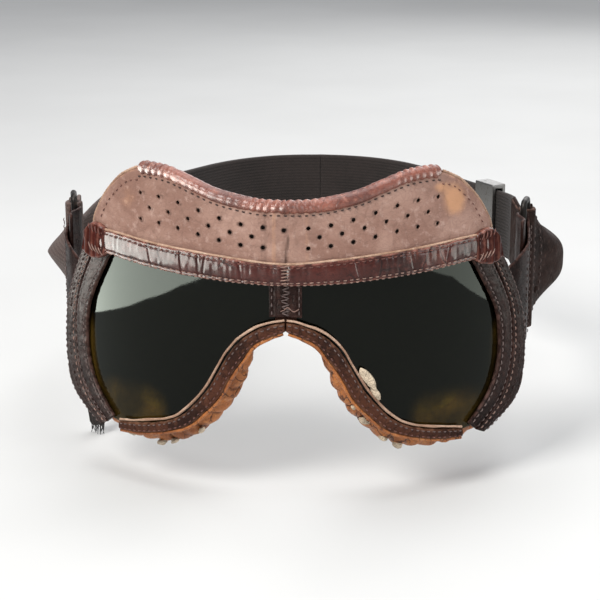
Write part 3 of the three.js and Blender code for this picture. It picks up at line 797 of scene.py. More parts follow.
# The rolled binding with its gathers
def binding_roll():
    count, sides = 620, 22
    line = spline(mirrored(BROW_TOP), np.linspace(0, 1, count))
    u = line[:, 0][:, None]
    a = ring(sides)[None, :]
    run = run_along(line)[:, None]
    strong = np.clip(smooth(np.abs(u), 32, 40) + 1 - smooth(np.abs(u), 7, 15), 0, 1)
    phase = run / 2.55 + 0.22 * np.sin(a) * np.sign(u) + 0.45 * hash_noise(run / 7, seed=6)
    gather = (0.5 + 0.5 * np.sin(2 * math.pi * phase)) ** 0.7
    swell = 1 - (0.035 + 0.115 * strong) * (1 - gather) + 0.03 * hash_noise(run / 5, a * 1.2, seed=7)
    cap = np.sqrt(np.clip(1 - (np.abs(u) - 49.3) / 1.9, 0.05, 1))
    height = 2.4 * np.sin(a) * swell * cap
    depth = 2.45 * np.cos(a) * swell * cap
    height = np.where(np.sin(a) < 0, height * 0.95, height)
    grid = on_face(u + 0 * a, line[:, 1][:, None] + 0.15 + height, depth)
    flow = np.stack([run + 0 * a, a * 2.3 + 0 * run, 0 * run + 0 * a], -1)
    upper = np.clip(np.sin(a) * 0.6 + 0.6, 0, 1)
    edge = np.clip((gather - 0.55) * 1.4, 0, 1) * (0.35 + 0.65 * strong) * upper
    return lattice("top_binding_roll", grid, BINDING, flow, edge)


follow(shade(binding_roll(), lambda u, z: 0.25 * bell(np.abs(u), 47, 6) + 0.2 * bell(u, 8, 7) - 0.1),
       "fold", "top_binding_l", "top_binding_r", slot="binding_leather")


seam("binding_stitching", "fold", drop(mirrored(BROW_TOP), -2.35), 1.42, DARK_THREAD, n=400, length=1.25,
     gap=1.0, radius=0.21, slot="binding_leather")

# Cords that edge the brow's outer ends, where the pale lining is turned over
for side, sign, body in SIDES:
    line, _ = row_on_face(sided(BROW_END, sign), 0.35, 90)
    cord = tube(f"brow_end_cord_{side}", line, 0.5, 8, PIPING,
                relief=lambda s, a: 1 + 0.12 * np.sin(2 * math.pi * (s / 1.2) + a))
    follow(cord, body, slot="lining_leather")
    seam(f"brow_end_stitching_{side}", body, sided(BROW_END_SEAM, sign), 1.35, RED_THREAD, n=60, length=1.2,
         gap=1.1, radius=0.16, slot="brow_leather")


# The glossy strip over the lenses. Each crack is a place and a slant
TRIM_CRACKS = ((-33.4, 0.10), (-25.8, -0.14), (-27.6, 0.05), (-44.5, 0.2), (-14, 0.12), (22.5, 0.25),
               (40.5, 0.2), (52, -0.15))


def trim_relief(run, x, share, u, z):
    puff = 0.38 * np.sin(math.pi * np.clip(share, 0, 1)) ** 0.8
    sewn = -0.30 * bell(share, 0.13, 0.055) - 0.26 * bell(share, 0.88, 0.05)
    cracks = sum(-0.5 * bell(u + slope * (z - 12), at, 0.28) for at, slope in TRIM_CRACKS)
    ripple = 0.16 * hash_noise(u / 2.4 + z / 7, z / 5, seed=8) * (0.5 + 0.5 * (u > 8))
    ripple = ripple + 0.10 * hash_noise(u / 0.9, z / 3.5, seed=9)
    middle = -0.6 * bell(u, 0.2, 0.35) + 0.2 * bell(u, -1.6, 0.9) + 0.25 * bell(u, 1.9, 0.9)
    return puff + sewn + cracks * np.sin(math.pi * share) ** 0.5 + ripple + middle


# Tone of the glossy strip: a painted highlight towards the right end, painted shade in the centre fold,
# darker left of the centre, and random mottling.
def trim_tone(u, z):
    return 0.16 * hash_noise(u / 6, z / 3, seed=12) + 0.25 * bell(u, 45, 10) - 0.35 * bell(u, 0, 1) \
        - 0.2 * bell(u, -12, 8)


trim_low, trim_top = mirrored(TRIM_LOW), mirrored(TRIM_TOP)
trim = face_strip("brow_trim_strip", trim_low, trim_top, 1.6, 3.1, 560, 22, OXBLOOD, trim_relief, wobble=0.16)
shade(trim, trim_tone)
follow(trim, "fold", "brow_trim_l", "brow_trim_r", slot="oxblood_leather")

line, _ = row_on_face(drop(trim_top, 0.15), 2.35, 300)
cord = tube("brow_trim_piping", line, 0.42, 8, PIPING,
            relief=lambda s, a: 1 + 0.16 * hash_noise(s / 2.5, seed=10))
follow(cord, "fold", slot="piping_cord")
for name, share, yarn, depth in (("upper", 0.86, RED_THREAD, 3.25), ("lower", 0.15, PALE_THREAD, 3.2),
                                 ("edge", 0.035, PALE_THREAD, 2.95)):
    seam(f"trim_{name}_stitching", "fold", between(trim_low, trim_top, share, 60), depth, yarn, n=420,
         length=1.35, gap=0.75, radius=0.2, slot="oxblood_leather")

# Whip stitches that close the strip over the centre fold
for k in range(6):
    z = 8.6 + k * 1.1
    seam(f"centre_whip_{k}", "fold", [[-1.7, z - 0.25], [0, z], [1.8, z + 0.3]], 3.55, PALE_THREAD, n=10,
         length=3.2, gap=0.1, radius=0.2, lift=0.12, slot="oxblood_leather")


# Folded corner patches, whipped down with long stitches
def corner_waves(u, z):
    return np.abs(np.sin(np.abs(u) * 1.05 + 0.06 * z))


def patch_relief(run, x, share, u, z):
    return 0.42 * corner_waves(u, z) ** 0.7 + 0.14 * hash_noise(u / 1.5, z / 3, seed=13)


for side, sign, body in SIDES:
    low, top = sided(CORNER_LOW, sign)[::sign], sided(CORNER_TOP, sign)[::sign]
    corner = face_strip(f"corner_patch_{side}", low, top, 1.2, 3.35, 60, 26, OXBLOOD, patch_relief)
    shade(corner, lambda u, z: 0.35 * corner_waves(u, z) ** 2)
    follow(corner, body, slot="oxblood_leather")
    for k in range(4):
        u, z = 64.6 + 1.6 * k, 12.6 + 0.3 * k
        lower = sided([[u - 1.1, z - 1.4], [u, z], [u + 1.1, z + 1.5]], sign)
        upper = sided([[u + 0.2, z + 5.2], [u + 0.7, z + 6.6], [u + 1.2, z + 8]], sign)
        seam(f"corner_stitch_{side}_{k}", body, lower, 4.2, PALE_THREAD, n=10, length=3.4, gap=0.1,
             radius=0.22, slot="oxblood_leather")
        seam(f"corner_upper_stitch_{side}_{k}", body, upper, 4.0, RED_THREAD, n=10, length=2.7, gap=0.1,
             radius=0.2, slot="oxblood_leather")


# Leather behind the notch at the top of the nose, where the two lower strips meet
NOTCH_LOW = [[-3.4, -9.6], [-1, -8.6], [1, -8.6], [3.4, -9.6]]
NOTCH_TOP = [[-3.4, -2.4], [-1, -2.4], [1, -2.4], [3.4, -2.4]]
notch = face_strip("nose_notch_backing", NOTCH_LOW, NOTCH_TOP, -0.9, -0.1, 24, 12, TRIM,
                   lambda run, x, share, u, z: -0.5 * bell(u, 0.1, 0.5))
follow(notch, "fold", slot="trim_leather", width=2.5)


# Side strips round the outer end of each lens
def strip_relief(run, x, share, u, z):
    return 0.35 * np.sin(math.pi * share) ** 0.7 \
        - 0.22 * bell(share, 0.16, 0.07) - 0.22 * bell(share, 0.84, 0.07) \
        + 0.16 * hash_noise(run / 2.2, x / 2.4, seed=14) + 0.08 * hash_noise(run / 0.9, x / 0.9, seed=15)


def lower_relief(run, x, share, u, z):
    return 0.4 * np.sin(math.pi * share) ** 0.7 + 0.12 * hash_noise(run / 1.6, x / 1.6, seed=17)


# Rows of side sewing: the strip's two edges, the share of the way across it, thread and radius
SIDE_SEWING = (("a", OPENING_SIDE, INNER_BAND, 0.16, GREY_THREAD, 0.21),
               ("b", OPENING_SIDE, INNER_BAND, 0.86, GREY_THREAD, 0.17),
               ("c", OUTER_BAND_IN, OUTER_BAND, 0.13, PALE_THREAD, 0.22),
               ("d", OUTER_BAND_IN, OUTER_BAND, 0.5, DARK_THREAD, 0.2),
               ("e", OUTER_BAND_IN, OUTER_BAND, 0.86, GREY_THREAD, 0.18))


def side_strips(side, sign, body):
    inner = face_strip(f"lens_edge_strip_{side}", sided(OPENING_SIDE, sign), sided(INNER_BAND, sign), 0.0,
                       1.5, 200, 14, DARK, strip_relief, wobble=0.12)
    follow(inner, body, f"lens_binding_{side[0]}", slot="dark_leather")
    outer = face_strip(f"side_strip_{side}", sided(OUTER_BAND_IN, sign), sided(OUTER_BAND, sign), 0.0, 1.5,
                       220, 18, DARK, strip_relief, wobble=0.14)
    shade(outer, lambda u, z: 0.12 * hash_noise(u / 3, z / 5, seed=16) - 0.05)
    follow(outer, body, f"side_panel_{side[0]}", slot="dark_leather")
    for row, low, top, share, yarn, radius in SIDE_SEWING:
        seam(f"side_stitching_{row}_{side}", body, between(sided(low, sign), sided(top, sign), share, 40),
             1.8, yarn, t0=0.01, t1=0.985, n=200, length=1.5, radius=radius, slot="dark_leather")


def lower_strips(side, sign, body):
    """The strip under the lens, its pale piping and the tan turned edge below it."""
    low, top = sided(LOWER_OUT, sign), sided(LOWER_IN, sign)
    lower = face_strip(f"lower_trim_strip_{side}", low, top, 0.0, 1.5, 260, 12, TRIM, lower_relief,
                       wobble=0.15)
    follow(lower, body, f"lower_trim_{side[0]}", slot="trim_leather")
    line, _ = row_on_face(between(low, top, 1.22, 60), 1.05, 260)
    run = run_along(line)
    line[:, 2] += 0.22 * hash_noise(run / 4, seed=18 + (sign > 0))
    line[:, 1] += 0.18 * hash_noise(run / 3, seed=20)
    bead = tube(f"lens_piping_cord_{side}", line, 0.42 + 0.09 * hash_noise(run / 5, seed=21), 10, PIPING,
                relief=lambda s, a: 1 + 0.08 * np.sin(2 * math.pi * s / 0.9 + a))
    follow(bead, body, f"lens_piping_{side[0]}", slot="piping_cord")
    line, _ = row_on_face(between(low, top, -0.10, 60), 0.75, 220, 0.02)
    radius = 0.62 + 0.12 * hash_noise(np.arange(220) / 9, seed=19)
    follow(tube(f"lower_turned_edge_{side}", line, radius, 8, CUSHION), body, slot="cushion_leather")
    for share, yarn in ((0.24, RED_THREAD), (0.78, GREY_THREAD)):
        seam(f"lower_stitching_{int(share * 100)}_{side}", body, between(low, top, share, 60), 1.82, yarn,
             n=260, length=1.2, gap=0.9, radius=0.17, slot="trim_leather")


def lens_plate(side, sign, body):
    """Lens plate, amber towards its lower and outer edges and in a patch by the nose."""
    lens = face_strip(f"lens_plate_{side}", sided(LENS_LOW, sign), sided(LENS_TOP, sign), -1.4, -0.4, 90, 20,
                      LENS)
    u, z = face_uz(lens)
    out = np.abs(u)
    patch = 17 if sign < 0 else 14
    amber = smooth(out, 70, 79) * smooth(-z, 2, 20) + 0.25 * bell(u, patch, 7) * bell(z, 0, 9) \
        + 0.95 * smooth(-z, 24, 41) * smooth(out, 34, 50) * (1 - 0.4 * smooth(out, 62, 72))
    lens.data.attributes["edge"].data.foreach_set("value", np.clip(amber, 0, 1))
    follow(lens, body, f"lens_{side[0]}", slot="tinted_lens")


for side, sign, body in SIDES:
    side_strips(side, sign, body)
    lower_strips(side, sign, body)
    lens_plate(side, sign, body)
    # Painted cloth backing round the lens opening
    lens_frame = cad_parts[f"lens_frame_{side[0]}"].data
    lens_frame.materials.clear()
    lens_frame.materials.append(BACKING)


# Bridge strip across the two lenses, worn, with zigzag sewing and a loose end of thread
def bridge_relief(run, x, share, u, z):
    return 0.22 * hash_noise(u / 1.6, z / 3.4, seed=24) - 0.3 * bell(np.abs(u), 3.9, 0.35) \
        - 0.35 * bell(u, 0.1, 0.5) + 0.15 * bell(np.abs(u), 1.6, 0.8)


bridge = face_strip("bridge_leather", [[-5.2, -3.4], [-2, -3.2], [2, -3.3], [5.2, -3.5]],
                    [[-5.2, 7.6], [-2, 7.6], [2, 7.6], [5.2, 7.6]], 0.0, 1.25, 60, 44, DARK, bridge_relief,
                    wobble=0.1)
shade(bridge, lambda u, z: 0.12 + 0.3 * hash_noise(u / 1.4, z / 5, seed=25))
follow(bridge, "fold", "bridge_strip", slot="oxblood_leather", width=3.0)
for side, sign, body in SIDES:
    x = 4.3 * sign
    seam(f"bridge_stitching_{side[0]}", body, [[x, -3], [x * 1.01, 2], [x, 7.2]], 1.5, GREY_THREAD, n=30,
         length=1.3, gap=0.8, radius=0.17, slot="oxblood_leather")
zigzag = [[(-1.5 if k % 2 else 1.5) + 0.3 * math.sin(k), 6.9 - k * 0.95] for k in range(11)]
for k, (a, b) in enumerate(zip(zigzag, zigzag[1:])):
    middle = [(a[0] + b[0]) / 2, (a[1] + b[1]) / 2]
    seam(f"bridge_zigzag_{k}", "fold", [a, middle, b], 1.5, GREY_THREAD, n=8, length=2.7, gap=0.05,
         radius=0.17, lift=0.12, slot="oxblood_leather", width=3.0)
loose = spline([[4.2, -0.2], [2.6, -0.9], [0.8, 0.4], [-0.4, -0.6], [-1.6, -1.2]], np.linspace(0, 1, 50))
line = on_face(loose[:, 0], loose[:, 1], 2.1 + 0.5 * np.sin(np.linspace(0, 5, 50)))
follow(tube("bridge_loose_thread", line, 0.14, 6, PALE_THREAD), "fold", slot="oxblood_leather", width=3.0)
# ---------------------------------------------------------------- cushions
CHEEK_IN = [[14.5, -12], [21, -17.5], [25, -25.5], [31, -33.5], [39, -39.5], [50, -42.5], [61, -43],
            [71, -38.5], [77, -29], [79, -17]]
CHEEK_OUT = [[10.5, -15], [13.6, -24], [19, -34], [26.5, -43], [36.5, -50.5], [50, -53.6], [63, -53.6],
             [76, -49.5], [86, -38], [90, -21]]
PAD_IN = [[18, 12.6], [34, 14], [50, 15.4], [62, 13.4], [71, 5.4], [77.6, -6], [79.2, -14.4]]
PAD_OUT = [[18, 25], [34, 27.4], [50, 29.4], [64, 26], [75, 15.4], [86, -1], [90, -18]]
PAD_FRONT = -2.95
SIM_SCALE = 20.0                 # the cloth solver works at furniture size
SIM_FRAMES = 20
SIM_CAP = 1.3                    # mm a point may move while the pad swells


def rounded(x):
    """Turns a circle's sine or cosine into that of a fuller, squarer curve."""
    return np.sign(x) * np.abs(x) ** (2 / 2.7)


def pad_blank(name, sign, out_pts, in_pts, deep, inset=0.3):
    """Closed roll with rounded section: flow holds the run along it and the angle round it."""
    steps, sides = 150, 30
    t = np.linspace(0, 1, steps)
    a_line, b_line = spline(out_pts, t), spline(in_pts, t)
    run, angle = run_along(a_line), ring(sides)
    end = np.sqrt(np.clip(1 - np.abs(2 * t - 1) ** 9, 0.10, 1))[:, None]
    width = np.linalg.norm(b_line - a_line, axis=1)[:, None]
    deep_t = deep(t)[:, None]
    s = 0.5 + 0.5 * rounded(np.cos(angle))[None, :] * end * (1 - 2 * inset / width)
    w = 0.5 + 0.5 * rounded(np.sin(angle))[None, :] * end * (1 - 2 * inset / deep_t)
    uz = a_line[:, None, :] + (b_line - a_line)[:, None, :] * s[..., None]
    grid = on_face(sign * uz[..., 0], uz[..., 1], PAD_FRONT - deep_t * w)
    flow = np.stack([np.repeat(run[:, None], sides, 1), np.repeat(angle[None, :], steps, 0), s], -1)
    return lattice(name, grid, None, flow, np.zeros((steps, sides)))


def swell(obj):
    """Voxel remesh and Cloth pressure at a larger scale, capped, applied and subdivided once."""
    obj.data.transform(Matrix.Scale(SIM_SCALE, 4))
    clear_layers(obj.data)
    remesh = obj.modifiers.new("remesh", "REMESH")
    remesh.mode, remesh.voxel_size = "VOXEL", 1.25 * MM * SIM_SCALE
    obj.data = evaluated(obj)
    obj.modifiers.clear()
    start = points_of(obj.data)
    cloth = obj.modifiers.new("swell", "CLOTH")
    settings = cloth.settings
    settings.quality = 5
    settings.mass = 0.3
    settings.use_pressure = True
    settings.uniform_pressure_force = 4.0
    settings.tension_stiffness = settings.compression_stiffness = 12
    settings.bending_stiffness = 0.4
    settings.effector_weights.gravity = 0
    cloth.collision_settings.use_collision = False
    cloth.point_cache.frame_start, cloth.point_cache.frame_end = 1, SIM_FRAMES
    for number in range(1, SIM_FRAMES + 1):
        bpy.context.scene.frame_set(number)
    puffed = evaluated(obj)
    move = points_of(puffed) - start
    far = np.linalg.norm(move, axis=1)[:, None]
    move = move * np.minimum(1, SIM_CAP * MM * SIM_SCALE / np.maximum(far, 1e-9))
    obj.modifiers.clear()
    obj.data = puffed
    obj.data.vertices.foreach_set("co", (start + move).ravel())
    bpy.context.scene.frame_set(1)
    finer = obj.modifiers.new("finer", "SUBSURF")
    finer.levels = finer.render_levels = 1
    obj.data = evaluated(obj)
    obj.modifiers.clear()
    obj.data.transform(Matrix.Scale(1 / SIM_SCALE, 4))


def finish_pad(obj, blank_co, blank_flow, pitch, deep_fold, seed):
    """Gathers and creases after the swelling, from the run and angle of the nearest points of the blank."""
    tree = KDTree(len(blank_co))
    for i, co in enumerate(blank_co):
        tree.insert(co, i)
    tree.balance()
    mesh = obj.data
    mesh.update()
    found = [tree.find_n(v.co, 4) for v in mesh.vertices]
    near = np.array([[point[1] for point in four] for four in found])
    weight = 1 / (np.array([[point[2] for point in four] for four in found]) + 2e-4)
    weight /= weight.sum(1, keepdims=True)
    run = (blank_flow[near, 0] * weight).sum(1)
    ca = (np.cos(blank_flow[near, 1]) * weight).sum(1)
    sa = (np.sin(blank_flow[near, 1]) * weight).sum(1)
    co = points_of(mesh) / MM
    normal = np.array([v.normal for v in mesh.vertices], float)
    lean = run + 1.6 * sa + 2.2 * hash_noise(run / 11, sa, seed=seed)
    phase = (lean / pitch) % 1.0
    shown = np.clip(0.35 - ca * 0.75, 0.05, 1)
    fold = bell(phase, 0.5, 0.10) * (0.65 + 0.35 * np.sin(np.floor(lean / pitch) * 2.3 + seed)) * shown
    place = co[:, [0, 2, 1]].T
    wave = 0.22 * hash_noise(*(place / 3.5), seed=seed + 1) \
        + 0.10 * hash_noise(*(place / 1.1), seed=seed + 2)
    puffs = 0.30 * np.cos(phase * 2 * math.pi) * shown
    co = co + normal * (wave + puffs - deep_fold * fold)[:, None]
    mesh.vertices.foreach_set("co", (co * MM).ravel())
    clear_layers(mesh)
    store(mesh, "rest", co)
    store(mesh, "flow", np.stack([run, np.arctan2(sa, ca) * 5, 0 * run], -1))
    # Tone: painted shade in the creases of the gathers, lighter on the puffs.
    store(mesh, "tone", np.clip(-1.1 * fold + 0.25 * (puffs > 0.1) * shown, -1, 1))
    mesh.polygons.foreach_set("use_smooth", [True] * len(mesh.polygons))
    mesh.materials.clear()
    mesh.materials.append(CUSHION)
    mesh.update()
    return obj


def pad(name, sign, out_pts, in_pts, deep, pitch, deep_fold, seed):
    blank = pad_blank(name, sign, out_pts, in_pts, deep)
    flow = np.zeros(len(blank.data.vertices) * 3, np.float32)
    blank.data.attributes["flow"].data.foreach_get("vector", flow)
    co = [tuple(v.co) for v in blank.data.vertices]
    swell(blank)
    return finish_pad(blank, co, flow.reshape(-1, 3), pitch, deep_fold, seed)


for side, sign, body in SIDES:
    cheek = pad(f"cheek_cushion_{side}", sign, CHEEK_OUT, CHEEK_IN,
                lambda t: 7.0 + 4.4 * smooth(t, 0.02, 0.3), 6.8, 0.95, 30 + sign)
    follow(cheek, body, f"cheek_cushion_{side[0]}", slot="cushion_leather")
    brow_pad = pad(f"brow_cushion_{side}", sign, PAD_OUT, PAD_IN, lambda t: 10.0 + 0 * t, 8.2, 0.6, 40 + sign)
    follow(brow_pad, body, f"brow_cushion_{side[0]}", slot="cushion_leather")


def crumb(name, body, centre, size, stretch, seed):
    """A torn lump of old foam."""
    bm = bmesh.new()
    bmesh.ops.create_icosphere(bm, subdivisions=4, radius=1.0)
    co = np.array([v.co for v in bm.verts], float)
    bump = 1 + 0.24 * hash_noise(*(co * 1.4).T, seed=seed) \
        + 0.10 * hash_noise(*(co * 3.3).T, seed=seed + 1) \
        + 0.05 * hash_noise(*(co * 9).T, seed=seed + 2)
    co = co * bump[:, None] @ np.asarray(stretch, float) * size + np.asarray(centre)
    faces = [tuple(v.index for v in f.verts) for f in bm.faces]
    bm.free()
    return follow(mesh_object(name, co, faces, FOAM), body, slot="cushion_leather")


def turned(angle, a, b, c):
    """Axes of a lump: a along the turned direction in the face, c out of the face, b across."""
    ca, sa = math.cos(angle), math.sin(angle)
    return [[a * ca, 0, a * sa], [0, -c, 0], [-b * sa, 0, b * ca]]


# Place on the mask, size and angle of each crumb below the cushions
LEFT_CRUMBS = ((-60.5, -53.4, 1.5, 0.1), (-47.5, -54.4, 1.5, 0.2), (-42.0, -53.0, 1.2, 0.4),
               (-31.0, -47.5, 1.1, 0.8), (-72.5, -48.2, 1.1, 0.2))
RIGHT_CRUMBS = ((27.2, -42.6, 1.6, -0.5), (34.0, -49.2, 1.3, -0.6), (39.2, -52.2, 1.4, -0.3),
                (23.2, -37.6, 0.9, -0.8))

flake, tip = turned(math.radians(-55), 4.0, 1.6, 0.75), turned(math.radians(-60), 2.8, 1.1, 0.8)
crumb("foam_flake_right", RIGHT, on_face(26.4, -24.6, 1.3), 1.0, flake, 51)
crumb("foam_flake_tip_right", RIGHT, on_face(29.0, -29.6, 1.2), 1.0, tip, 55)
for k, (u, z, size, angle) in enumerate(LEFT_CRUMBS + RIGHT_CRUMBS):
    side, body = ("left", LEFT) if u < 0 else ("right", RIGHT)
    crumb(f"foam_crumb_{side}_{k}", body, on_face(u, z + 1.3, PAD_FRONT - 2.2), size,
          turned(angle, 1.25, 0.75, 1.0), 60 + k)


# ---------------------------------------------------------------- straps
TEMPLE = (80.0, 64.7)
FRONT_BAR = (78.2, 56.2)
STRAP_Z, STRAP_HIGH, STRAP_THICK = -7.0, 26.0, 2.2
LOOP_Z, LOOP_HALF, LOOP_BEND, EYE_HALF, WIRE, EAR_PUSH = -3.0, 25.0, 2.2, 21.6, 1.1, 13.0
HOLE_Y, HOLE_Z, HOLE_RADIUS = 72.0, -13.0, 1.4


def sheet(name, sign, path, low, top, thick, bulge, along, across, material, relief=None):
    """A strap on edge along a plan path, from height low(t) to top(t), pushed outward by bulge(t, s)."""
    t = np.linspace(0, 1, along + 1)
    p = path(t)
    step = 1e-3
    ahead = path(np.clip(t + step, 0, 1)) - path(np.clip(t - step, 0, 1))
    ahead /= np.linalg.norm(ahead, axis=1)[:, None]
    run = run_along(p)
    lo, hi = low(t), top(t)
    x, h, edge = section(hi - lo, across)
    share = x / (hi - lo)[:, None]
    tall = lo[:, None] + x
    runs = np.repeat(run[:, None], x.shape[1], 1)
    out = h * thick / 2 + bulge(t[:, None], share)
    if relief is not None:
        out = out + relief(runs, tall)
    px = p[:, 0][:, None] + ahead[:, 1][:, None] * out
    py = p[:, 1][:, None] - ahead[:, 0][:, None] * out
    return lattice(name, to_row(sign * px, py, tall), material, np.stack([runs, x, h], -1), edge)


def through(points):
    return lambda t: spline(points, t)


def wrapped(centre, radius, start, stop, n=9):
    """Points on a circle round a wire bar, angles in degrees."""
    a = np.radians(np.linspace(start, stop, n))
    return (np.asarray(centre) + radius * np.stack([np.cos(a), np.sin(a)], -1)).tolist()


def flat(value):
    return lambda t: value + 0 * t


def plain_cut(t, s):
    """No bulge."""
    return 0 * t * s


def strap_edge(up):
    """Height of the side strap's upper (1) or lower (-1) edge, narrowing from the loop to the strap."""
    def height(t):
        k = smooth(t, 0, 0.45)
        return (LOOP_Z + up * EYE_HALF) * (1 - k) + (STRAP_Z + up * STRAP_HIGH / 2) * k

    return height


SIDE_PATH = [[81.6, 66.4], [81.8, 76], [82, 87], [82, 98], [81.6, 110], [80.8, 122], [80, 134.4]]
side_low, side_top = strap_edge(-1), strap_edge(1)


def ear_bulge(fullness):
    def bulge(t, s):
        along = np.sin(math.pi * np.minimum(1, t * 1.15)) ** 2
        return EAR_PUSH * along * (1 - np.abs(2 * s - 1) ** fullness)

    return bulge


SLIDE_FROM, SLIDE_TO = np.array([76.4, 146.0]), np.array([47.4, 190.0])
BACK = np.array([0.06, 216.7])
BEHIND_EAR, EAR_KNEE = np.array([80.0, 135.0]), np.array([80.0, 140.6])
straight = (SLIDE_TO - SLIDE_FROM) / np.linalg.norm(SLIDE_TO - SLIDE_FROM)
BACK_KNEE = SLIDE_TO + straight * (BACK[1] - SLIDE_TO[1]) / straight[1]


def arc(a, b, c, w):
    """Quadratic curve from a to c with its knee at b."""
    return a * (1 - w) ** 2 + 2 * b * w * (1 - w) + c * w**2


def back_path(t):
    """Bend behind the ear, a straight run for the slide, and the curve round the head."""
    t = np.asarray(t, float)[:, None]
    first, second = 0.1, 0.5
    bend = arc(BEHIND_EAR, EAR_KNEE, SLIDE_FROM, np.clip(t / first, 0, 1))
    share = (t - first) / (second - first)
    line = SLIDE_FROM * (1 - share) + SLIDE_TO * share
    curve = arc(SLIDE_TO, BACK_KNEE, BACK, np.clip((t - second) / (1 - second), 0, 1))
    return np.where(t < first, bend, np.where(t < second, line, curve))


def patch_path(stop):
    """Along the end of the back strap from 11 mm off the middle to x = stop."""
    p = back_path(np.linspace(0.9, 1, 80))[::-1]
    begin = back_path([0.905])[0, 0]

    def path(t):
        x = begin + (stop - begin) * np.asarray(t, float)
        return np.stack([x, np.interp(x, p[:, 0], p[:, 1])], -1)

    return path


PATCH_HALF = 12.7
SEWN_HALF = PATCH_HALF - 1.3
SEWN_FROM, SEWN_TO, SEWN_OUT = 0.912, 0.974, 2.05
# Each row of the sewn square and its cross: heights and places along the strap, from start to end
BACK_ROWS = ((-SEWN_HALF, SEWN_HALF, SEWN_FROM, SEWN_FROM), (-SEWN_HALF, SEWN_HALF, SEWN_TO, SEWN_TO),
             (-SEWN_HALF, -SEWN_HALF, SEWN_FROM, SEWN_TO), (SEWN_HALF, SEWN_HALF, SEWN_FROM, SEWN_TO),
             (-SEWN_HALF, SEWN_HALF, SEWN_FROM, SEWN_TO), (SEWN_HALF, -SEWN_HALF, SEWN_FROM, SEWN_TO))
FOLD_LINE = [[80.15, 75.5], [79.6, 71], [78.6, 67.4]] + wrapped(TEMPLE, 2.35, 160, 360) + [[82.2, 66.6]]
TAB_LINE = [[72.1, 33.9], [74.5, 36.7], [76.7, 39.7], [79.2, 45.6], [79.95, 50.4], [80.15, 55.2]] \
    + wrapped(FRONT_BAR, 1.95, 10, 170) + [[76.6, 54], [77.5, 51], [78.0, 47.8], [77.1, 44.6]]
eye_low, eye_top = flat(LOOP_Z - EYE_HALF), flat(LOOP_Z + EYE_HALF)
eye_run = np.linspace(LOOP_Z - EYE_HALF + 2, LOOP_Z + EYE_HALF - 2, 60)


def bend_behind_ear(piece, side, sign):
    """Blends a strap piece from the side strap's body to the back strap's."""
    x, y, z = sign * 0.0811, (ORIGIN_Y + 134.7) * MM, 0.06
    start, end = (x, y - 0.008, z), (x, y + 0.008, z)
    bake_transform(piece, f"strap_side_{side}", f"strap_back_{side}", start=start, end=end)


def sew_upright(name, body, sign, x, y, length, gap, radius, slot):
    """A row of stitches up the outside of a strap."""
    line = to_row(sign * x, y, eye_run)
    rows = stitches(name, line, np.tile([sign, 0, 0], (60, 1)), GREY_THREAD, length=length, gap=gap,
                    radius=radius)
    follow(rows, body, slot=slot)


def side_strap(side, sign, fullness, hide):
    """Side strap, its end folded round the loop's rear bar, its bound edges and its sewing."""
    bulge = ear_bulge(fullness)
    main = sheet(f"side_strap_{side}", sign, through(SIDE_PATH), side_low, side_top, STRAP_THICK, bulge, 170,
                 46, hide, lambda run, z: 0.18 * hash_noise(run / 9, z / 8, seed=70 + sign))
    eye = sheet(f"side_strap_fold_{side}", sign, through(FOLD_LINE), eye_low, eye_top, 1.5, plain_cut, 70, 40,
                hide)
    if sign > 0:
        ca, sa = circle(20)
        hole = [to_row(x, HOLE_Y + HOLE_RADIUS * ca, HOLE_Z + HOLE_RADIUS * sa) for x in (75.0, 90.0)]
        punch(main, [hole])
        punch(eye, [hole])
    bend_behind_ear(main, side, sign)
    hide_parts(f"strap_side_{side[0]}")
    bend_behind_ear(eye, side, sign)
    for part, rim in (("upper", side_top), ("lower", side_low)):
        t = np.linspace(0.01, 0.99, 120)
        p = spline(SIDE_PATH, t)
        line = to_row(sign * p[:, 0], p[:, 1], rim(t))
        cord = tube(f"strap_edge_{part}_{side}", line, 1.05, 10, hide, squash=0.55, up=(1, 0, 0))
        bend_behind_ear(cord, side, sign)
    for k, y in enumerate((69.2, 74.6)):
        near = np.linspace(0, 0.3, 200)
        t = np.interp(y, spline(SIDE_PATH, near)[:, 1], near)
        share = (eye_run - side_low(t)) / (side_top(t) - side_low(t))
        x = spline(SIDE_PATH, np.array([t]))[0, 0] + STRAP_THICK / 2 + 0.06 + bulge(t, np.clip(share, 0, 1))
        sew_upright(f"strap_sewing_{k}_{side}", f"strap_side_{side}", sign, x, y, 1.7, 0.9, 0.22,
                    "strap_webbing")


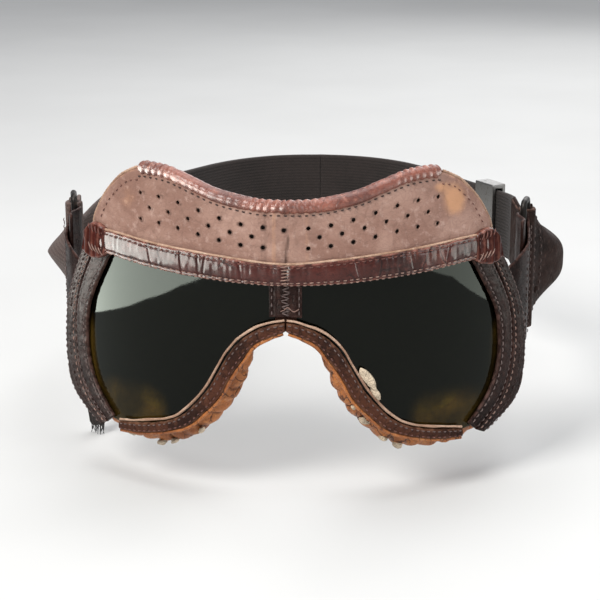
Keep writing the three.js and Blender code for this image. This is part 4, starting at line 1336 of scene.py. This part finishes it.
def back_strap(side, sign):
    """Back strap with a sewn patch at its end. The left patch laps over the right strap's end."""
    back = sheet(f"back_strap_{side}", sign, back_path, flat(STRAP_Z - STRAP_HIGH / 2),
                 flat(STRAP_Z + STRAP_HIGH / 2), STRAP_THICK, plain_cut, 220, 24, ELASTIC,
                 lambda run, z: 0.10 * hash_noise(run / 8, z / 9, seed=80 + sign))
    bend_behind_ear(back, side, sign)
    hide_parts(f"strap_back_{side[0]}")
    stop, lap = (-2.2, 0.35) if sign < 0 else (2.45, 0.0)
    patch = sheet(f"back_patch_{side}", sign, patch_path(stop), flat(STRAP_Z - PATCH_HALF),
                  flat(STRAP_Z + PATCH_HALF), 1.0, lambda t, s: 1.5 + lap * smooth(t, 0.68, 0.8) + 0 * s, 50,
                  26, DARK, lambda run, z: 0.07 * hash_noise(run / 2, z / 2, seed=84 + sign))
    follow(patch, f"strap_back_{side}", slot="dark_leather")
    for k, (z0, z1, t0, t1) in enumerate(BACK_ROWS):
        w = np.linspace(0, 1, 40)
        t = t0 + (t1 - t0) * w
        p = back_path(t)
        ahead = back_path(np.minimum(t + 1e-3, 1)) - back_path(np.minimum(t + 1e-3, 1) - 2e-3)
        ahead /= np.linalg.norm(ahead, axis=1)[:, None]
        nx, ny = ahead[:, 1], -ahead[:, 0]
        line = to_row(sign * (p[:, 0] + nx * SEWN_OUT), p[:, 1] + ny * SEWN_OUT, STRAP_Z + z0 + (z1 - z0) * w)
        rows = stitches(f"back_sewing_{k}_{side}", line, np.stack([sign * nx, ny, 0 * nx], -1), GREY_THREAD,
                        length=1.8, gap=0.8, radius=0.22)
        follow(rows, f"strap_back_{side}", slot="dark_leather")


def strap_tab(side, sign, body):
    """Leather tab from the mask, folded round the loop's front bar."""
    def tab_top(t):
        return LOOP_Z + 8 + (EYE_HALF - 8) * np.minimum(1, t * 2.3)

    tab = sheet(f"strap_tab_{side}", sign, through(TAB_LINE), eye_low, tab_top, 1.0, plain_cut, 110, 36, DARK,
                lambda run, z: 0.10 * hash_noise(run / 3, z / 3, seed=90 + sign))
    follow(tab, body, f"strap_tab_{side[0]}", slot="dark_leather")
    for k, (x, y) in enumerate(((80.3, 49.2), (79.3, 45.2))):
        sew_upright(f"tab_sewing_{k}_{side}", body, sign, x + 0.25, y, 1.5, 0.8, 0.2, "dark_leather")


def toward(a, b, distance):
    return a + (b - a) / np.linalg.norm(b - a) * distance


def wire_loop(side, sign, body):
    """Wire loop with bent corners."""
    corners = [np.array([sign * bar[0], bar[1], LOOP_Z + up * LOOP_HALF])
               for bar, up in ((FRONT_BAR, -1), (FRONT_BAR, 1), (TEMPLE, 1), (TEMPLE, -1))]
    wire = []
    for i, here in enumerate(corners):
        before, after = corners[i - 1], corners[(i + 1) % 4]
        a, b = toward(here, before, LOOP_BEND), toward(here, after, LOOP_BEND)
        wire.extend(arc(a, here, b, w) for w in np.linspace(0, 1, 8))
        end = toward(after, here, LOOP_BEND)
        wire.extend(b * (1 - w) + end * w for w in np.linspace(0, 1, 20)[1:-1])
    loop = tube(f"wire_loop_{side}", to_row(*np.array(wire).T), WIRE, 14, BLACK_WIRE, closed=True,
                up=(1, 0.3, 0))
    follow(loop, body, f"strap_loop_{side[0]}", slot="wire_steel")


for side, sign, body in SIDES:
    if sign < 0:
        side_strap(side, sign, 1.3, WEBBING)
    else:
        side_strap(side, sign, 3.0, STRAP_HIDE)
    back_strap(side, sign)
    strap_tab(side, sign, body)
    wire_loop(side, sign, body)


# Metal slide with softened edges and a middle bar
slide = bpy.data.objects.new("metal_slide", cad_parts["strap_slide"].data.copy())
bpy.context.scene.collection.objects.link(slide)
slide.modifiers.new("weld", "WELD").merge_threshold = 1e-6
soften = slide.modifiers.new("soften", "BEVEL")
soften.width = 0.45 * MM
soften.segments = 3
soften.limit_method = "ANGLE"
soften.angle_limit = math.radians(40)
slide.data = evaluated(slide)
slide.modifiers.clear()
store(slide.data, "rest", points_of(slide.data) / MM)
slide.data.materials.clear()
slide.data.materials.append(STEEL)
slide.data.polygons.foreach_set("use_smooth", [False] * len(slide.data.polygons))
follow(slide, "slide", "strap_slide", slot="wire_steel")

# Cut tail of an old strap: sewn round the left loop's lower bar, twisted, frayed at its end
BAR = (np.array(TEMPLE) + np.array(FRONT_BAR)) / 2
BAR_LINE = np.array(TEMPLE) - np.array(FRONT_BAR)
ALONG = BAR_LINE / np.linalg.norm(BAR_LINE)
TAIL_WIDE, TAIL_DROP, TAIL_DRIFT, TAIL_TWIST = 6.0, 38.0, 6.0, math.radians(55)
TAIL_FOLD = ((-3.0, 0.4), (-2.8, 1), (0, 1.1), (2.8, 1), (3.0, 0.4), (3.0, -0.5), (0, -0.95), (-3.0, -0.5))
FRAY_COUNT, FRAY_POINTS = 24, 14


def tail_point(a, b, z):
    """Offsets across and along the lower bar, and height from it, to row-frame mm on the left side."""
    return to_row(-(BAR[0] + ALONG[1] * a + ALONG[0] * b), BAR[1] - ALONG[0] * a + ALONG[1] * b,
                  LOOP_Z - LOOP_HALF + z)


def tail_grid(steps=90, across=14):
    down = np.linspace(0, 1, steps)[:, None]
    x, h, edge = section(np.full(steps, TAIL_WIDE), across)
    turn = -TAIL_TWIST * smooth(down, 0.15, 0.7)
    thick = 0.8 + 0.12 * hash_noise(down * 14, x / 2, seed=95)
    a0 = h * thick
    b0 = (x - TAIL_WIDE / 2) * (1 - 0.12 * bell(down, 0.45, 0.2) + 0.05 * hash_noise(down * 9, seed=96))
    a = a0 * np.cos(turn) - b0 * np.sin(turn)
    b = a0 * np.sin(turn) + b0 * np.cos(turn)
    fall = 1.8 + down * (TAIL_DROP - 3.0) - 1.6 * (down > 0.97) * np.abs(hash_noise(x * 1.3, seed=97))
    grid = tail_point(a - TAIL_DRIFT * down**1.5 + 0.6 * np.sin(down * 7), b, -fall)
    return lattice("strap_tail_piece", grid, ELASTIC, np.stack([down * TAIL_DROP + 0 * x, x, h], -1), edge)


def tail_fold():
    """The fold round the loop's lower bar."""
    a = ring(40)[:, None]
    across, out = np.array(TAIL_FOLD).T
    radius = 2.1 + 0.62 * out
    flow = np.stack([radius * np.cos(a), across + 0 * a, radius * np.sin(a)], -1)
    return lattice("strap_tail_fold", tail_point(*flow.T).swapaxes(0, 1), ELASTIC, flow, 0 * flow[..., 0],
                   wrap_along=True)


tail = follow(tail_grid(), "tail", "strap_tail", slot="strap_elastic")
# Painted shade: the whole tail's tone is set darker; the elastic material does not read it.
shade(tail, lambda u, z: -0.4)
follow(tail_fold(), "tail", slot="strap_elastic")
for k in range(FRAY_COUNT):
    b = -2.8 + 5.6 * k / (FRAY_COUNT - 1)
    w = np.linspace(0, 1, FRAY_POINTS)
    long = 3.0 + 2.6 * rng.random()
    a_end, b_end = b * math.sin(TAIL_TWIST), b * math.cos(TAIL_TWIST)
    sway, curl = rng.uniform(-1.8, 1.8), rng.uniform(-1.2, 1.2)
    line = tail_point(a_end - TAIL_DRIFT + 0.4 + curl * w**2, b_end + sway * w**1.5,
                      -(TAIL_DROP - 3.2 + min(long, 4.8) * w))
    follow(tube(f"tail_fray_{k}", line, 0.19 * (1 - 0.5 * w), 5, BLACK_THREAD), "tail", slot="strap_elastic")
w = np.linspace(0, 1, 60)
line = tail_point(-TAIL_DRIFT - 1.6 - 9 * w, 1.5 + 3.2 * np.sin(w * 5),
                  -(TAIL_DROP - 3) + 2.6 * np.sin(w * 6.5) * w)
follow(tube("tail_loose_thread", line, 0.13, 5, BLACK_THREAD), "tail", slot="strap_elastic")
# ---------------------------------------------------------------- floor, light and camera
def plain(name, tone, rough):
    n = Nodes(name)
    mottle = n.noise(n.node("ShaderNodeTexCoord", "Object", {}), 6.0, 3.0)
    color = n.mix(n.ramp(mottle, 0.3, 0.7), tone, dim(tone, 0.96))
    return n.surface(color, rough, specular=0.2)


bpy.ops.mesh.primitive_plane_add(size=6, location=(0, 0, 0))
floor = bpy.context.object
floor.name = "floor"
floor.data.materials.append(plain("pale_floor", (0.60, 0.60, 0.59), 0.8))
floor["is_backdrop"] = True

world = bpy.data.worlds.new("studio")
bpy.context.scene.world = world
world.use_nodes = True
sky = world.node_tree.nodes["Background"].inputs
sky["Color"].default_value = (0.93, 0.95, 1.0, 1)
sky["Strength"].default_value = 0.5


def area_light(name, place, target, size, power, tone=(1, 1, 1)):
    data = bpy.data.lights.new(name, "AREA")
    data.shape = "RECTANGLE"
    data.size = data.size_y = size
    data.energy, data.color = power, tone
    obj = bpy.data.objects.new(name, data)
    bpy.context.scene.collection.objects.link(obj)
    obj.location = place
    obj.rotation_euler = (Vector(target) - Vector(place)).to_track_quat("-Z", "Y").to_euler()
    obj.visible_camera = False


GOGGLES = (0, -0.06, 0.07)
area_light("key", (-0.55, -0.75, 0.85), GOGGLES, 0.45, 12.5, (1.0, 0.985, 0.96))
area_light("fill", (0.85, -0.55, 0.40), GOGGLES, 0.5, 3.2, (0.96, 0.98, 1.0))
area_light("top", (0.05, 0.05, 1.0), GOGGLES, 0.8, 6.5)
area_light("back", (0.3, 0.9, 0.6), (0, 0.05, 0.06), 0.7, 3.4)


# Window-like panels: they draw the pale wedges in the lenses' outer corners and the shine of the strips
def receivers(name, *starts):
    group = bpy.data.collections.new(name)
    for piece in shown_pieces():
        if piece.name.startswith(starts):
            group.objects.link(piece)
    return group


reflecting = receivers("reflecting", "lens_plate", "brow_trim_strip", "top_binding_roll", "lens_edge_strip",
                       "side_strip_", "bridge_leather")


def window(name, x, outline, glow):
    """A glowing panel standing at x, outline in design (y, z) mm, seen only as a reflection."""
    verts = [(x, y + ORIGIN_Y, z + ORIGIN_Z) for y, z in outline]
    n = Nodes(name)
    n.finish(n.node("ShaderNodeEmission", 0, {"Color": (0.97, 1.0, 0.94), "Strength": glow}))
    obj = mesh_object(name, verts, [tuple(range(len(verts)))], n.material)
    obj.visible_camera = obj.visible_diffuse = obj.visible_shadow = obj.visible_transmission = False
    obj.light_linking.receiver_collection = reflecting
    obj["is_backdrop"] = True


LEFT_OUTLINE = [(66, -37.5), (20, -35), (-29, -34), (-88, -37.4), (-146, -45), (-215, -59), (-215, 70),
                (66, 70)]
RIGHT_OUTLINE = [(66, -33), (20, -28), (-20, -22), (-60, -24), (-60, 60), (66, 60)]
window("window_left", -150, LEFT_OUTLINE, 17.5)
window("window_right", 150, RIGHT_OUTLINE, 6.0)

camera_data = bpy.data.cameras.new("camera")
camera_data.lens = 102.6
camera_data.sensor_width = 36
camera = bpy.data.objects.new("camera", camera_data)
bpy.context.scene.collection.objects.link(camera)
camera.location = (0.0374, -0.6294, 0.2221)
pitch, yaw = math.radians(16.2), math.radians(3.6)
aim = Vector((-math.sin(yaw) * math.cos(pitch), math.cos(yaw) * math.cos(pitch), -math.sin(pitch)))
camera.rotation_euler = aim.to_track_quat("-Z", "Y").to_euler()
camera_data.clip_start = 0.01
bpy.context.scene.camera = camera
bpy.context.scene.view_settings.view_transform = "Standard"

low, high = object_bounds()
